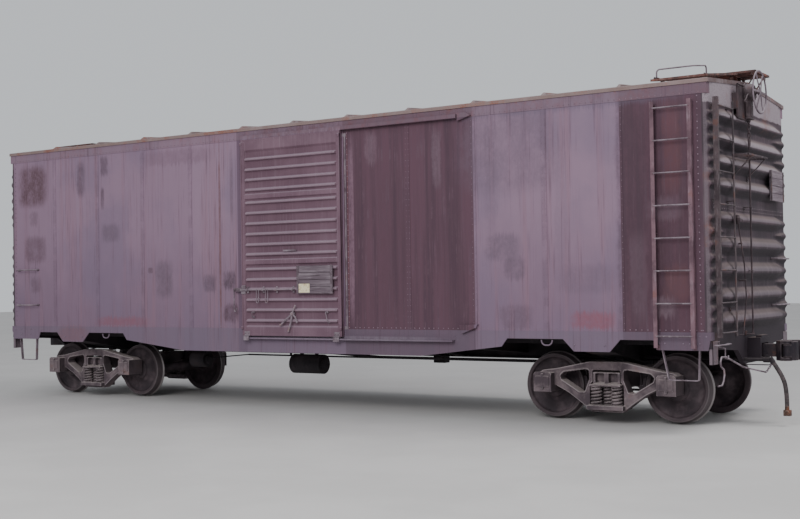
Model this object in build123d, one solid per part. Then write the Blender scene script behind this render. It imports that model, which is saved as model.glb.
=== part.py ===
from build123d import *
import os
from math import atan2, cos, degrees, hypot, pi, radians, sin, tan

# Forty-foot steel boxcar with corrugated ends and one sliding door on each side.
# Millimetres, +Z up. The origin is on the floor under the car's centre, at the lowest points
# of the wheel flanges. +X is the end with the hand brake, and the near side is at -Y.
# Heights whose names end in _h are measured up from the top of the rail.
# The far side and the other end are the near side and the brake end turned half a turn about Z.

# Wheels and axles
flange_height = 25.0
tread_radius = 419.0
wheel_gauge = 1356.0        # between the two wheels' inner faces
wheel_width = 145.0
rim_depth = 58.0
wheel_plate = 30.0
hub_radius = 142.0
hub_overhang = 10.0
seat_radius = 92.0
axle_radius = 78.0
journal_radius = 70.0
journal_length = 254.0
journal_centre = 978.0
collar_radius = 80.0
collar_width = 13.0
running_gap = 0.3
moving_gap = 5.0

# Trucks
truck_centre = 4668.0       # from the car's centre
wheelbase = 1676.0
frame_width = 160.0
frame_top_h = 755.0
frame_bottom_h = 118.0
frame_end_h = 630.0
window_half = 190.0         # half of the opening at the bolster
window_top_h = 645.0
spring_window_half = 228.0  # and below, at the springs
spring_window_h = (462.0, 500.0)
column_width = 48.0
column_foot_x = 300.0
column_bend_h = 520.0
chord_depth = 105.0
strut_outer = (526.0, 347.0)  # x and height of the lower outline's two bends
strut_inner = (398.0, 260.0)
strut_depth = 132.0
frame_foot = 205.0
frame_window_round = 30.0
frame_rim = (14.0, 8.0)     # width of the raised rim round a window, and how far it stands out
arm_reach = 100.0           # of the top chord past the axle, over the journal box
seat_top_h = 205.0
seat_plate = 55.0
seat_width = 310.0
box_half = 114.0
box_low_h = 362.0
box_top_h = 600.0
box_inner = 870.0
box_outer = 1165.0
box_wall = 24.0
lid_half = 126.0
lid_low_h = 360.0
lid_top_h = 612.0
lid_thickness = 22.0
spring_radius = 74.0
spring_wire = 30.0
spring_turns = 6
spring_spread_x = 140.0
spring_spread_y = 77.0
bolster_half = 185.0
bolster_end = 1058.0
bolster_low_h = 445.0
bolster_top_h = 620.0
bolster_belly_h = 400.0
bolster_belly_y = 480.0
bolster_shoulder_y = 760.0
bolster_neck_y = 560.0
bolster_flange = (216.0, 25.0)  # half width and thickness over the springs
bolster_pocket = (62.0, 70.0, 90.0)  # half size, depth and place of the hollows in its ends
bowl_floor_h = 630.0
bowl_rim = 30.0
bowl_wall = 24.0
centre_plate_radius = 178.0
side_bearing_y = 635.0
side_bearing_size = 90.0
side_bearing_gap = 8.0
shoe_thickness = 38.0
shoe_width = 86.0
shoe_gap = 6.0
shoe_half_angle = 17.0
beam_x = 345.0
beam_depth = 60.0
hanger_radius = 12.0
hanger_top_h = 690.0

# Body shell
body_length = 12400.0
inside_length = 12344.0
inside_width = 2794.0
wall_thickness = 103.0
floor_top_h = 1105.0
floor_thickness = 57.0
sill_low_h = 1058.0
sill_top_h = 1155.0
sill_plate = 16.0
sill_proud = 3.0
panel_pitch = 1031.0
door_bay = 972.0            # first panel seam from the car's centre
seam_width = 70.0
seam_proud = 4.0
post_edge = 1039.0
opening_half = 890.0
corner_width = 70.0
corner_round = 60.0
fascia_low_h = 3957.0
fascia_proud = 6.0
eave_h = 4135.0
roof_rise = 130.0
ridge_h = eave_h + roof_rise
eave_overhang = 20.0
roof_thickness = 50.0
roof_end = 15.0
cap_width = 46.0
cap_height = 38.0
roof_panel_rise = 14.0
roof_panel_margin = 70.0
end_seam_h = 2640.0
end_seam_width = 90.0
end_seam_proud = 8.0
end_rib_depth = 65.0
end_rib_length = 2680.0
end_rib_taper = 230.0
dart_depth = 22.0
dart_half = 26.0
dart_length = 230.0
dart_y = 1215.0
gable_low_h = 3850.0
gable_proud = 8.0
gable_margin = 90.0

# Doors
door_half = 915.0
door_low_h = 1050.0
door_top_h = 3985.0
door_gap = 12.0
door_sheet = 40.0
door_rib_depth = 28.0
door_rib_half = 45.0
door_rib_length = 1698.0
door_rib_taper = 60.0
door_stile = 62.0
door_stile_proud = 14.0
door_head = 70.0            # plain strip above the stiles
hasp_end = -1100.0
hasp_y = (6.0, 14.0)
hasp_h = (1700.0, 1752.0)
latch_x = (10.0, 70.0)
latch_depth = 30.0
latch_h = (1660.0, 1790.0)
track_low_h = 1004.0
track_top_h = 1024.0
track_thickness = 10.0
track_back = (4.0, 1080.0)  # thickness and top of the leg on the sill
track_reach = 80.0
track_end = 2722.0
hood_end = 2818.0
hood_top_h = 4004.0
hood_lip = 55.0
hood_thickness = 7.0
stop_depth = 40.0
stop_outlines = (  # x and height of the lower stop's and the upper stop's corners
    ((2812.0, 1225.0), (2845.0, 1112.0), (3060.0, 1190.0), (3085.0, 1235.0)),
    ((2824.0, 4027.0), (2824.0, 3911.0), (3024.0, 3972.0), (2967.0, 4012.0)),
)
guide_x = 825.0
guide_width = 84.0
board_thickness = 22.0

# Underframe
sill_inside = 326.0         # between the centre sill's webs
web_thickness = 12.0
sill_flange = 100.0
flange_thickness = 16.0
centre_sill_low_h = 720.0
end_sill_thickness = 60.0
end_sill_low_h = 960.0
bolster_plate = 16.0
body_bolster_half = 190.0
body_web_spread = 150.0
bolster_outer_h = 945.0
cross_web = 12.0
cross_flange = 120.0
cross_outer_h = 905.0
stringer_width = 60.0
stringer_depth = 76.0
stringer_places = (560.0, 1000.0)
draft_gear_length = 420.0
end_sill_shoulder = (560.0, 60.0)
horn_length = 70.0
horn_rise = 26.0
horn_inset = 50.0
mouth_clearance = 12.0

# Draft gear and couplers
coupler_h = 876.0
shank_half = 65.0
shank_height = 160.0
coupler_pivot = 5950.0
shank_end = 6560.0
butt_radius = 90.0
striker_end = 6360.0
striker_half = 190.0
striker_mouth = 130.0
striker_low_h = 745.0
striker_top_h = 1040.0
head_height = 250.0
knuckle_height = 236.0
knuckle_pin_x = 6668.0
knuckle_pin_y = -104.0
knuckle_pin_radius = 21.0
knuckle_hub = 52.0
lug_radius = 57.0
lug_height = 40.0
head_outline = (  # seen from above, from the knuckle's pin
    (-148, 24), (-68, -54), (-18, -54), (-8, 54), (-4, 164), (32, 204),
    (122, 244), (138, 269), (112, 290), (32, 290), (-48, 254), (-148, 184),
)
jaw_outline = ((-62, -71), (-62, 84), (-18, 124), (-4, 162), (92, 162), (92, -71))
nose_outline = ((60, -44), (84, -42), (108, -8), (116, 40), (108, 98), (62, 108), (54, 62), (66, 20))
web_outline = ((-10, -50), (60, -50), (75, -30), (75, 30), (0, 45))

# Ladders, grabs and steps
rung_radius = 9.5
stile_width = 50.0
stile_thickness = 8.0
stile_leg = 46.0
ladder_standoff = 72.0
side_ladder_x = (5545.0, 6005.0)
side_ladder_h = (970.0, 3900.0)
end_ladder_y = (-1370.0, -840.0)
end_ladder_h = (1088.0, 3920.0)
end_ladder_standoff = 90.0
end_stile_leg = 60.0        # of the angle iron that is the outer stile
first_rung_h = 1106.0
rung_pitch = 388.0
rung_count = 8
ladder_foot_bracket = 30.0
ladder_mid_bracket_h = 2330.0
ladder_top_bracket = 40.0
bracket_half = 20.0
end_bracket_low_h = 1425.0
end_bracket_above_seam = 75.0
end_bracket_top = 87.0
end_bracket_half = 14.0
grab_radius = 9.5
grab_standoff = 65.0
grab_bend = 22.0
side_grab_h = (2110.0, 1515.0)
side_grab_x = (-6015.0, -5505.0)
end_grab_h = (1424.0, 2035.0)
end_grab_y = (840.0, 1365.0)
end_grab_extra = 25.0
roof_grab_x = (5560.0, 6020.0)
roof_grab_y = (-1420.0, -980.0)
roof_grab_rise = 109.0
roof_grab_bend = 40.0
step_low_h = 565.0
step_top_h = 1010.0
step_bar = 12.0
step_width = 50.0
step_table = (  # x of the bar's two tops, x of its two lower corners
    ((5590.0, 6080.0), (5680.0, 6065.0)), ((-6030.0, -5600.0), (-5990.0, -5619.0)),
)

# Brake gear
brake_wheel_radius = 262.0
brake_wheel_rim = 13.0
brake_wheel_y = -297.0
brake_wheel_drop = 183.0    # of its centre below the ridge
brake_wheel_x = 6452.0
pipe_radius = 21.0
hose_radius = 27.0
train_line_y = -330.0       # at the brake end
train_line_h = 775.0
train_line_low_h = 690.0
train_line_bend = 180.0
train_line_bends = (3900.0, 3500.0, 700.0)  # x where it goes down, levels out and crosses over
cock_x = 6480.0             # of the angle cock's body
cock_length = 80.0
cock_radius = 34.0
cock_neck = 30.0
cock_handle_x = (6470.0, 6500.0)
cock_handle = 62.0
hand_neck = 60.0            # of the glad hand, below the hose's end
hand_x = (-40.0, 46.0)
hand_half = 32.0
hand_h = (-122.0, -50.0)
hand_face = 30.0
hand_face_place = (8.0, -38.0, -86.0)

housing_y = (-640.0, -170.0)
housing_height = 430.0
housing_drop = 95.0         # of its top below the ridge
backing_plate = 16.0
housing_leg = 40.0
housing_leg_inset = 40.0
housing_leg_h = (120.0, 320.0)
case_radius = 118.0
case_depth = 110.0
chute_depth = 70.0
chute_half = 60.0
chute_h = (20.0, 300.0)
shaft_radius = 20.0
shaft_length = 64.0
wheel_hub_radius = 42.0
wheel_hub_length = 40.0
wheel_spokes = 6
spoke_radius = 10.0
brake_rod_y = -262.0
brake_rod_standoff = 96.0
brake_rod_radius = 11.0
brake_rod_foot_h = 1090.0
clevis_half = 14.0
clevis_width = 44.0
clevis_h = ((3640.0, 3735.0), (3480.0, 3560.0))
rod_bracket_half = 20.0
rod_bracket_width = 56.0
retainer_points = ((-754.0, 2465.0), (-545.0, 1944.0), (-492.0, 1526.0), (-640.0, 1090.0))
retainer_radius = 8.0
retainer_bend = 300.0
retainer_valve = (60.0, 120.0)
brake_step_x = (54.0, 260.0)
brake_step_y = (-805.0, -40.0)
brake_step_h = 3268.0
brake_step_thickness = 22.0
brake_step_notch = 22.0     # clear of the brake rod
brake_step_arm = 40.0
brake_step_arm_y = (-650.0, -120.0)
brake_step_drop = 260.0
end_board_y = (640.0, 1190.0)
end_board_h = (2790.0, 3190.0)

# Underfloor brake units and levers
reservoir_place = (-350.0, -700.0, 590.0)
reservoir_size = (145.0, 560.0, 30.0)
cylinder_place = (-2560.0, -700.0, 610.0)
cylinder_size = (120.0, 300.0, 40.0)
unit_strap = (50.0, 28.0)
valve_blocks = (  # x, y and height of the valve's pipe bracket, body and hanger
    ((1080.0, 1280.0), (560.0, 700.0), (560.0, 840.0)),
    ((1130.0, 1230.0), (500.0, 760.0), (600.0, 700.0)),
)
valve_hanger_x = (1150.0, 1210.0)
valve_hanger_y = (600.0, 660.0)
valve_hanger_sink = 40.0
long_rod_x = (-2350.0, 3250.0)
long_rod_y = 225.0
long_rod_h = 640.0
long_rod_radius = 13.0
rod_hangers = (-1450.0, 1450.0, 3150.0)
rod_hanger_size = (40.0, 12.0)
live_lever = ((-2370.0, -2330.0), (-740.0, 250.0), 16.0)
uncoupling_standoff = 100.0
uncoupling_route = ((0.0, -1400.0, 640.0), (0.0, -1400.0, 900.0), (0.0, -280.0, 900.0), (60.0, -280.0, 800.0))
uncoupling_radius = 12.0
uncoupling_bend = 50.0
uncoupling_brackets = (-1145.0, -465.0)
uncoupling_bracket = 30.0
uncoupling_bracket_h = (886.0, 976.0)

half_body = body_length / 2
half_inside = inside_length / 2
wall_in = inside_width / 2
wall_out = wall_in + wall_thickness
sill_face = wall_out + sill_proud
eave_y = wall_out + eave_overhang
floor_low_h = floor_top_h - floor_thickness
wheel_in = wheel_gauge / 2
wheel_out = wheel_in + wheel_width
sill_web_in = sill_inside / 2
sill_web_out = sill_web_in + web_thickness
sill_flange_out = sill_web_out + sill_flange
axle_x = wheelbase / 2
axle_h = tread_radius
frame_in = journal_centre - frame_width / 2
frame_out = journal_centre + frame_width / 2


def up(height):
    """Z of a height above the rail."""
    return height + flange_height


def under_roof(y):
    """Height above the rail of the roof's underside at a distance from the centre line."""
    slope = (ridge_h - eave_h) / eave_y
    return eave_h - roof_thickness + slope * (eave_y - abs(y))


def over_roof(y):
    return under_roof(y) + roof_thickness


def block(x, y, z):
    """Box between two X, two Y and two heights above the rail."""
    size = [abs(pair[1] - pair[0]) for pair in (x, y, z)]
    return Pos(sum(x) / 2, sum(y) / 2, up(sum(z) / 2)) * Box(*size)


def across(points, x):
    """Outline of (y, height) points, extruded between two X."""
    face = make_face(Polyline(*[(x[0], y, up(h)) for y, h in points], close=True))
    return extrude(face, amount=x[1] - x[0], dir=(1, 0, 0))


def along(points, y):
    """Outline of (x, height) points, extruded between two Y."""
    face = make_face(Polyline(*[(x, y[0], up(h)) for x, h in points], close=True))
    return extrude(face, amount=y[1] - y[0], dir=(0, 1, 0))


def flat(points, h):
    """Outline of (x, y) points, extruded between two heights."""
    face = make_face(Polyline(*[(x, y, up(h[0])) for x, y in points], close=True))
    return extrude(face, amount=h[1] - h[0], dir=(0, 0, 1))


def bar(points, radius, bend=None):
    """Round bar through (x, y, height) points, with a bend radius at each inner one."""
    spots = [(x, y, up(h)) for x, y, h in points]
    path = Line(*spots) if len(spots) == 2 else FilletPolyline(*spots, radius=bend)
    return sweep(Plane(origin=path @ 0, z_dir=path % 0) * Circle(radius), path=path)


def drum(centre, radius, length, axis="x"):
    """Cylinder centred on a (x, y, height) point, along one axis."""
    turn = {"x": Rot(0, 90, 0), "y": Rot(90, 0, 0), "z": Rot(0, 0, 0)}[axis]
    x, y, h = centre
    return Pos(x, y, up(h)) * turn * Cylinder(radius, length)


def joined(pieces):
    return pieces[0] + list(pieces[1:])


def turned(shape):
    """The same piece at the other end and on the other side."""
    return Rot(0, 0, 180) * shape


def mirrored(shape):
    """The same piece on the other side of the car's centre line."""
    return mirror(shape, about=Plane.XZ)


def save(node, pieces):
    solids = [solid for piece in pieces for solid in piece.solids()]
    export_step(Compound(children=solids), f"parts/{node}.step")


def pair(node, shape):
    save(node, [shape, turned(shape)])


def pressed_rib(half_length, taper, depth, half_height):
    """Horizontal rib along X that stands out of the plane Y = 0 towards -Y, with tapered ends."""
    radius = (half_height ** 2 + depth ** 2) / (2 * depth)
    flat_radius = radius - depth
    outline = [
        (-half_length, 0), (-half_length, flat_radius), (taper - half_length, radius),
        (half_length - taper, radius), (half_length, flat_radius), (half_length, 0),
    ]
    spindle = revolve(make_face(Polyline(*outline, close=True)), axis=Axis.X)
    front = Pos(0, -flat_radius - radius / 2, 0) * Box(2 * half_length, radius, 2 * radius)
    return Pos(0, flat_radius, 0) * (spindle & front)


os.makedirs("parts", exist_ok=True)

# Wheelsets: two wheels pressed on one axle


def wheel():
    """Wheel revolved about the Y axis, with its flange on the inner side."""
    rim_in = tread_radius - rim_depth
    plate_y = wheel_in + wheel_width / 2
    half_plate = wheel_plate / 2
    flange_tip = tread_radius + flange_height
    outline = [
        (seat_radius, wheel_in - hub_overhang), (hub_radius, wheel_in - hub_overhang),
        (hub_radius + 12, wheel_in + 22), (rim_in - 12, plate_y - half_plate + 4),
        (rim_in, wheel_in), (flange_tip - 12, wheel_in), (flange_tip, wheel_in + 10),
        (flange_tip, wheel_in + 16), (tread_radius + 8, wheel_in + 30),
        (tread_radius + 2, wheel_in + 40), (tread_radius - 2.5, wheel_out - 8),
        (tread_radius - 10, wheel_out), (rim_in, wheel_out), (rim_in - 12, plate_y + half_plate + 4),
        (hub_radius + 12, plate_y + half_plate - 26), (hub_radius, wheel_out + hub_overhang),
        (seat_radius, wheel_out + hub_overhang),
    ]
    return revolve(make_face(Polyline(*outline, close=True)), axis=Axis.Y)


def axle():
    journal_in = journal_centre - journal_length / 2
    journal_out = journal_centre + journal_length / 2
    half = [
        (0, axle_radius - 6), (wheel_in - 60, axle_radius), (wheel_in - 40, seat_radius),
        (wheel_out + hub_overhang, seat_radius), (journal_in, seat_radius - 8),
        (journal_in, journal_radius), (journal_out, journal_radius), (journal_out, collar_radius),
        (journal_out + collar_width, collar_radius), (journal_out + collar_width, 0),
    ]
    whole = [(radius, y) for y, radius in half] + [(radius, -y) for y, radius in reversed(half[1:])]
    return revolve(make_face(Polyline(*whole, close=True)), axis=Axis.Y)


wheelset = joined([axle(), wheel(), mirrored(wheel())])

# Truck pieces, centred on the truck's pin


def journal_box(x):
    """Box with a cavity for the journal and a bearing above it."""
    y_mid = (box_inner + box_outer) / 2
    depth = box_outer - box_inner
    bearing_end = journal_centre + journal_length / 2 - 8
    shell = block((x - box_half, x + box_half), (box_inner, box_outer), (box_low_h, box_top_h))
    cavity = drum((x, y_mid, axle_h), box_half - box_wall, depth, "y")
    cavity -= block((x - 60, x + 60), (box_inner, bearing_end), (axle_h + 10, box_top_h))
    return shell - cavity - drum((x, y_mid, axle_h), journal_radius + running_gap, depth, "y")


def frame_window(side):
    """Outline of a window between the chords, with the strut's slope as its lower side."""
    box_x = axle_x - box_half
    low_h = strut_inner[1] + strut_depth * 0.8
    points = [
        (window_half + column_width, frame_top_h - chord_depth),
        (column_foot_x, frame_top_h - chord_depth + 2),
        (box_x - 130, frame_end_h - 20), (box_x - 82, frame_end_h - 66), (box_x - 100, column_bend_h - 4),
        (strut_inner[0] - 26, low_h), (column_foot_x, low_h), (window_half + column_width, column_bend_h),
    ]
    sketch = make_face(Polyline(*[(side * x, up(h)) for x, h in points], close=True))
    return fillet(sketch.vertices(), frame_window_round * 0.8)


def along_y(sketch, y):
    """Sketch of (x, Z) extruded between two Y."""
    return extrude(Plane(origin=(0, y[0], 0), x_dir=(1, 0, 0), z_dir=(0, -1, 0)) * sketch, amount=y[0] - y[1])


def side_frame():
    """Cast side frame on the +Y side, with windows between its chords."""
    box_x = axle_x - box_half
    half = [
        (0, frame_top_h), (window_half + column_width, frame_top_h - 3), (box_x - 4, frame_end_h + 22),
        (axle_x + 0.6 * arm_reach, frame_end_h), (axle_x + arm_reach, box_top_h), (box_x + 10, box_top_h),
        (box_x + 10, strut_outer[1] + 103), strut_outer, strut_inner, (frame_foot, frame_bottom_h),
    ]
    outline = half + [(-x, h) for x, h in reversed(half[1:])]
    body = along(outline, (frame_in, frame_out))
    rim_width, rim_proud = frame_rim
    rims = []
    for side in (1, -1):
        window = frame_window(side)
        body -= along_y(window, (frame_in, frame_out))
        rims.append(along_y(offset(window, rim_width) - window, (frame_out, frame_out + rim_proud)))
    opening = [
        (spring_window_half, seat_top_h), (spring_window_half, spring_window_h[0]),
        (window_half, spring_window_h[1]), (window_half, window_top_h),
    ]
    opening += [(-x, h) for x, h in reversed(opening)]
    body -= along(opening, (frame_in, frame_out))
    seat = block((-spring_window_half - 20, spring_window_half + 20),
                 (journal_centre - seat_width / 2, journal_centre + seat_width / 2),
                 (seat_top_h - seat_plate, seat_top_h))
    boxes = [journal_box(side * axle_x) for side in (1, -1)]
    for side in (1, -1):
        x = side * axle_x
        body -= block(sorted((x - side * (box_half - box_wall), x + side * box_half)), (frame_in, frame_out),
                      (box_low_h, box_top_h))
    return joined([body, seat] + rims + boxes)


def journal_lid(x):
    y = box_outer + lid_thickness
    slab = along([(x - lid_half, lid_low_h), (x - lid_half, lid_top_h - 26),
                  (x - lid_half + 26, lid_top_h), (x + lid_half - 26, lid_top_h),
                  (x + lid_half, lid_top_h - 26), (x + lid_half, lid_low_h)],
                 (box_outer, y))
    raised = block((x - lid_half + 34, x + lid_half - 34), (y, y + 10), (lid_low_h + 60, lid_top_h - 52))
    spine = block((x - 14, x + 14), (y, y + 18), (lid_low_h + 30, lid_top_h - 20))
    return joined([slab, raised, spine])


def truck_bolster():
    half = [(bolster_belly_y, bolster_belly_h), (bolster_shoulder_y, bolster_low_h),
            (bolster_end, bolster_low_h), (bolster_end, bolster_top_h), (bolster_neck_y, bowl_floor_h)]
    outline = half + [(-y, h) for y, h in reversed(half)]
    body = across(outline, (-bolster_half, bolster_half))
    bowl_radius = centre_plate_radius + moving_gap
    rim = drum((0, 0, bowl_floor_h + bowl_rim / 2), bowl_radius + bowl_wall, bowl_rim, "z")
    rim -= drum((0, 0, bowl_floor_h + bowl_rim / 2), bowl_radius, bowl_rim, "z")
    bearing_top = body_bolster_low(side_bearing_y) - side_bearing_size / 2 - side_bearing_gap
    half_pad = side_bearing_size / 2
    pads = [block((-half_pad, half_pad), (side * side_bearing_y - half_pad, side * side_bearing_y + half_pad),
                  (bolster_top_h - 4, bearing_top)) for side in (1, -1)]
    flange_half, flange_depth = bolster_flange
    spring_span = spring_spread_y + spring_radius
    flanges = [block((-flange_half, flange_half),
                     sorted((flank * (journal_centre - spring_span), flank * (journal_centre + spring_span))),
                     (bolster_low_h, bolster_low_h + flange_depth)) for flank in (1, -1)]
    pocket_half, pocket_depth, pocket_x = bolster_pocket
    for x in (-pocket_x, pocket_x):
        for y in (-bolster_end, bolster_end - pocket_depth):
            middle = (bolster_low_h + flange_depth + bolster_top_h) / 2
            body -= block((x - pocket_half, x + pocket_half), (y, y + pocket_depth),
                          (middle - pocket_half, middle + pocket_half))
    return joined([body, rim] + flanges + pads)


def body_bolster_low(y):
    """Height of the body bolster's lower face at a distance from the centre line."""
    start = sill_flange_out
    share = max(0, abs(y) - start) / (sill_face - sill_plate - start)
    return centre_sill_low_h - bolster_plate + share * (bolster_outer_h - centre_sill_low_h)


def spring():
    """Coil spring as one turned solid with a round bead for each turn, standing on Z = 0."""
    height = bolster_low_h - seat_top_h
    pitch = height / spring_turns
    bead = min(spring_wire, pitch) / 2
    core = spring_radius - bead * 1.6
    lines = [Line((0, 0), (core, 0))]
    z = 0
    for turn in range(spring_turns):
        low, high = z + pitch / 2 - bead, z + pitch / 2 + bead
        lines.append(Line((core, z), (core, low)) if low > z + 0.01 else None)
        lines.append(ThreePointArc((core, low), (spring_radius, (low + high) / 2), (core, high)))
        lines.append(Line((core, high), (core, z + pitch)) if z + pitch > high + 0.01 else None)
        z += pitch
    lines += [Line((core, height), (0, height)), Line((0, height), (0, 0))]
    edges = [Plane.XZ * line for line in lines if line is not None]
    return revolve(make_face(edges), axis=Axis.Z)


def brake_gear():
    """Both brake beams with their shoes, hangers and the rod between them."""
    pieces = []
    track_y = wheel_in + 34 + shoe_width / 2
    inner = tread_radius + shoe_gap
    for side in (1, -1):
        x = side * axle_x
        for flank in (1, -1):
            y = flank * track_y
            ring = drum((x, y, axle_h), inner + shoe_thickness, shoe_width, "y")
            ring -= drum((x, y, axle_h), inner, shoe_width, "y")
            reach = inner + 2 * shoe_thickness
            spread = reach * tan(radians(shoe_half_angle))
            wedge = [(x, axle_h), (x - side * reach, axle_h + spread), (x - side * reach, axle_h - spread)]
            shoe = ring & along(wedge, (y - shoe_width / 2, y + shoe_width / 2))
            pieces.append(shoe)
            post_y = flank * (track_y + 10)
            pieces.append(bar([(side * beam_x, post_y, axle_h), (side * beam_x, post_y, hanger_top_h),
                               (side * beam_x, flank * frame_in, hanger_top_h)], hanger_radius, 40))
        half_beam = track_y + shoe_width / 2
        beam_out = axle_x - inner - shoe_thickness + 8
        pieces.append(block((side * (beam_x - 16), side * beam_out), (-half_beam, half_beam),
                            (axle_h - beam_depth / 2, axle_h + beam_depth / 2)))
        pieces.append(block((side * (beam_x - 22), side * (beam_x + 4)), (-60, -20), (300, 560)))
    pieces.append(bar([(-beam_x, -40, 320), (beam_x, -40, 320)], 16))
    return joined(pieces)


frame_pair = [side_frame()]
frame_pair.append(mirrored(frame_pair[0]))
lid_pieces = [journal_lid(side * axle_x) for side in (1, -1)]
lid_pieces += [mirrored(lid) for lid in lid_pieces]
spring_places = [(sx * spring_spread_x, flank * (journal_centre + sy * spring_spread_y))
                 for sx in (1, -1) for sy in (1, -1) for flank in (1, -1)]
spring_places += [(0, flank * journal_centre) for flank in (1, -1)]
one_spring = spring()
spring_pieces = [Pos(x, y, up(seat_top_h)) * one_spring for x, y in spring_places]
bolster_piece = truck_bolster()
brake_piece = brake_gear()

for end, way in (("b", Pos(truck_centre, 0, 0)), ("a", Rot(0, 0, 180) * Pos(truck_centre, 0, 0))):
    save(f"truck_{end}_side_frames", [way * piece for piece in frame_pair])
    save(f"truck_{end}_journal_lids", [way * piece for piece in lid_pieces])
    save(f"truck_{end}_springs", [way * piece for piece in spring_pieces])
    save(f"truck_{end}_bolster", [way * bolster_piece])
    save(f"truck_{end}_brake_gear", [way * brake_piece])
    for name, x in (("outer", axle_x), ("inner", -axle_x)):
        save(f"wheelset_{end}_{name}", [way * Pos(x, 0, up(axle_h)) * wheelset])

# Underframe

sill_half = half_body - end_sill_thickness
cross_places = [  # x, height of the lower edge at the centre sill
    (700, 800), (2090, 736), (3100, 800),
]


def centre_sill():
    low, top = centre_sill_low_h, floor_low_h
    x = (-sill_half, sill_half)
    pieces = [block(x, (-sill_web_out, sill_web_out), (top - web_thickness, top))]
    for flank in (1, -1):
        web = sorted((flank * sill_web_in, flank * sill_web_out))
        flange = sorted((flank * sill_web_in, flank * sill_flange_out))
        pieces.append(block(x, web, (low, top)))
        pieces.append(block(x, flange, (low, low + flange_thickness)))
    follower = coupler_pivot - butt_radius - running_gap
    for side in (1, -1):
        draft = sorted((side * follower, side * (follower - draft_gear_length)))
        half_gear = shank_height / 2 + 10
        gear_h = (coupler_h - half_gear, coupler_h + half_gear)
        pieces.append(block(draft, (-sill_web_in, sill_web_in), gear_h))
    return joined(pieces)


def body_bolster():
    """Tapered bolster across the car, with the centre plate and the side bearings under it."""
    end = sill_face - sill_plate
    low = centre_sill_low_h
    web = [(sill_web_out, low + flange_thickness), (sill_flange_out, low + flange_thickness),
           (sill_flange_out, low), (end, bolster_outer_h), (end, sill_low_h), (wall_in, sill_low_h),
           (wall_in, floor_low_h), (sill_web_out, floor_low_h)]
    plate = [(0, low - bolster_plate), (sill_flange_out, low - bolster_plate),
             (end, bolster_outer_h - bolster_plate), (end, bolster_outer_h), (sill_flange_out, low), (0, low)]
    pieces = []
    for flank in (1, -1):
        for x in (-body_web_spread, body_web_spread):
            sheet = across([(flank * y, h) for y, h in web], (x - 7, x + 7))
            pieces.append(sheet)
        pieces.append(across([(flank * y, h) for y, h in plate], (-body_bolster_half, body_bolster_half)))
        half_pad = side_bearing_size / 2
        y = flank * side_bearing_y
        pad_low = body_bolster_low(side_bearing_y) - half_pad
        pieces.append(block((-half_pad, half_pad), (y - half_pad, y + half_pad),
                            (pad_low, body_bolster_low(side_bearing_y) + bolster_plate / 2)))
    height = low - bolster_plate - bowl_floor_h - running_gap
    pieces.append(drum((0, 0, bowl_floor_h + running_gap + height / 2), centre_plate_radius, height, "z"))
    whole = joined(pieces)
    return whole - drum((0, train_line_y, train_line_h), pipe_radius + running_gap, 2 * body_bolster_half)


def crossbearer(x, inner_h):
    """One cross member on the near side, from the centre sill to the side sill."""
    end = sill_face - sill_plate
    clear = centre_sill_low_h + flange_thickness
    outline = [(sill_web_out, max(inner_h, clear)), (sill_flange_out, max(inner_h, clear)),
               (end, cross_outer_h), (end, sill_low_h), (wall_in, sill_low_h), (wall_in, floor_low_h),
               (sill_web_out, floor_low_h)]
    flange = [(sill_flange_out, max(inner_h, clear)), (end, cross_outer_h),
              (end, cross_outer_h + cross_web), (sill_flange_out, max(inner_h, clear) + cross_web)]
    web = across([(-y, h) for y, h in outline], (x - cross_web / 2, x + cross_web / 2))
    foot = across([(-y, h) for y, h in flange], (x - cross_flange / 2, x + cross_flange / 2))
    return joined([web, foot])


near_members = [crossbearer(side * x, h) for x, h in cross_places for side in (1, -1)]
bolster_b = Pos(truck_centre, 0, 0) * body_bolster()
save("center_sill", [centre_sill()])
pair("body_bolsters", bolster_b)
save("crossbearers", near_members + [turned(member) for member in near_members])

# Stringers run under the floor from one cross member to the next
stops = sorted([(side * x, cross_web / 2) for x, h in cross_places for side in (1, -1)])
for side in (1, -1):
    for spread in (-body_web_spread, body_web_spread):
        stops.append((side * (truck_centre + spread), 7))
stops = [(-sill_half, 0)] + sorted(stops) + [(sill_half, 0)]
stringers = []
for (left, left_half), (right, right_half) in zip(stops, stops[1:]):
    for y in stringer_places:
        span = (left + left_half, right - right_half)
        run = block(span, (-y - stringer_width / 2, -y + stringer_width / 2),
                    (floor_low_h - stringer_depth, floor_low_h))
        stringers += [run, turned(run)]
save("floor_stringers", stringers)
save("floor", [block((-half_inside, half_inside), (-wall_in, wall_in), (floor_low_h, floor_top_h))])


def end_sill():
    """Buffer beam with the striker casting and the coupler's mouth, at the brake end."""
    low = centre_sill_low_h
    end = sill_face - sill_plate
    shoulder_y, shoulder_drop = end_sill_shoulder
    half = [(end, floor_low_h), (end, end_sill_low_h), (shoulder_y, end_sill_low_h - shoulder_drop),
            (striker_half + 120, low), (0, low)]
    outline = half + [(-y, h) for y, h in reversed(half[:-1])]
    beam = across(outline, (sill_half, half_body))
    striker = block((half_body, striker_end), (-striker_half, striker_half), (striker_low_h, striker_top_h))
    horn_y = striker_half - horn_inset
    horn = block((striker_end - horn_length, striker_end), (-horn_y, horn_y),
                 (striker_top_h, striker_top_h + horn_rise))
    half_shank = shank_height / 2
    carrier = coupler_h - half_shank - running_gap
    mouth_h = (carrier, coupler_h + half_shank + mouth_clearance)
    mouth = block((sill_half, striker_end), (-striker_mouth, striker_mouth), mouth_h)
    hole = drum((half_body, train_line_y, train_line_h), pipe_radius + running_gap, 4 * end_sill_thickness)
    return joined([beam, striker, horn]) - mouth - hole


pair("end_sills", end_sill())

# Side sills: a deep flange all along, with plates hanging at the doors, bolsters and corners

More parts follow.
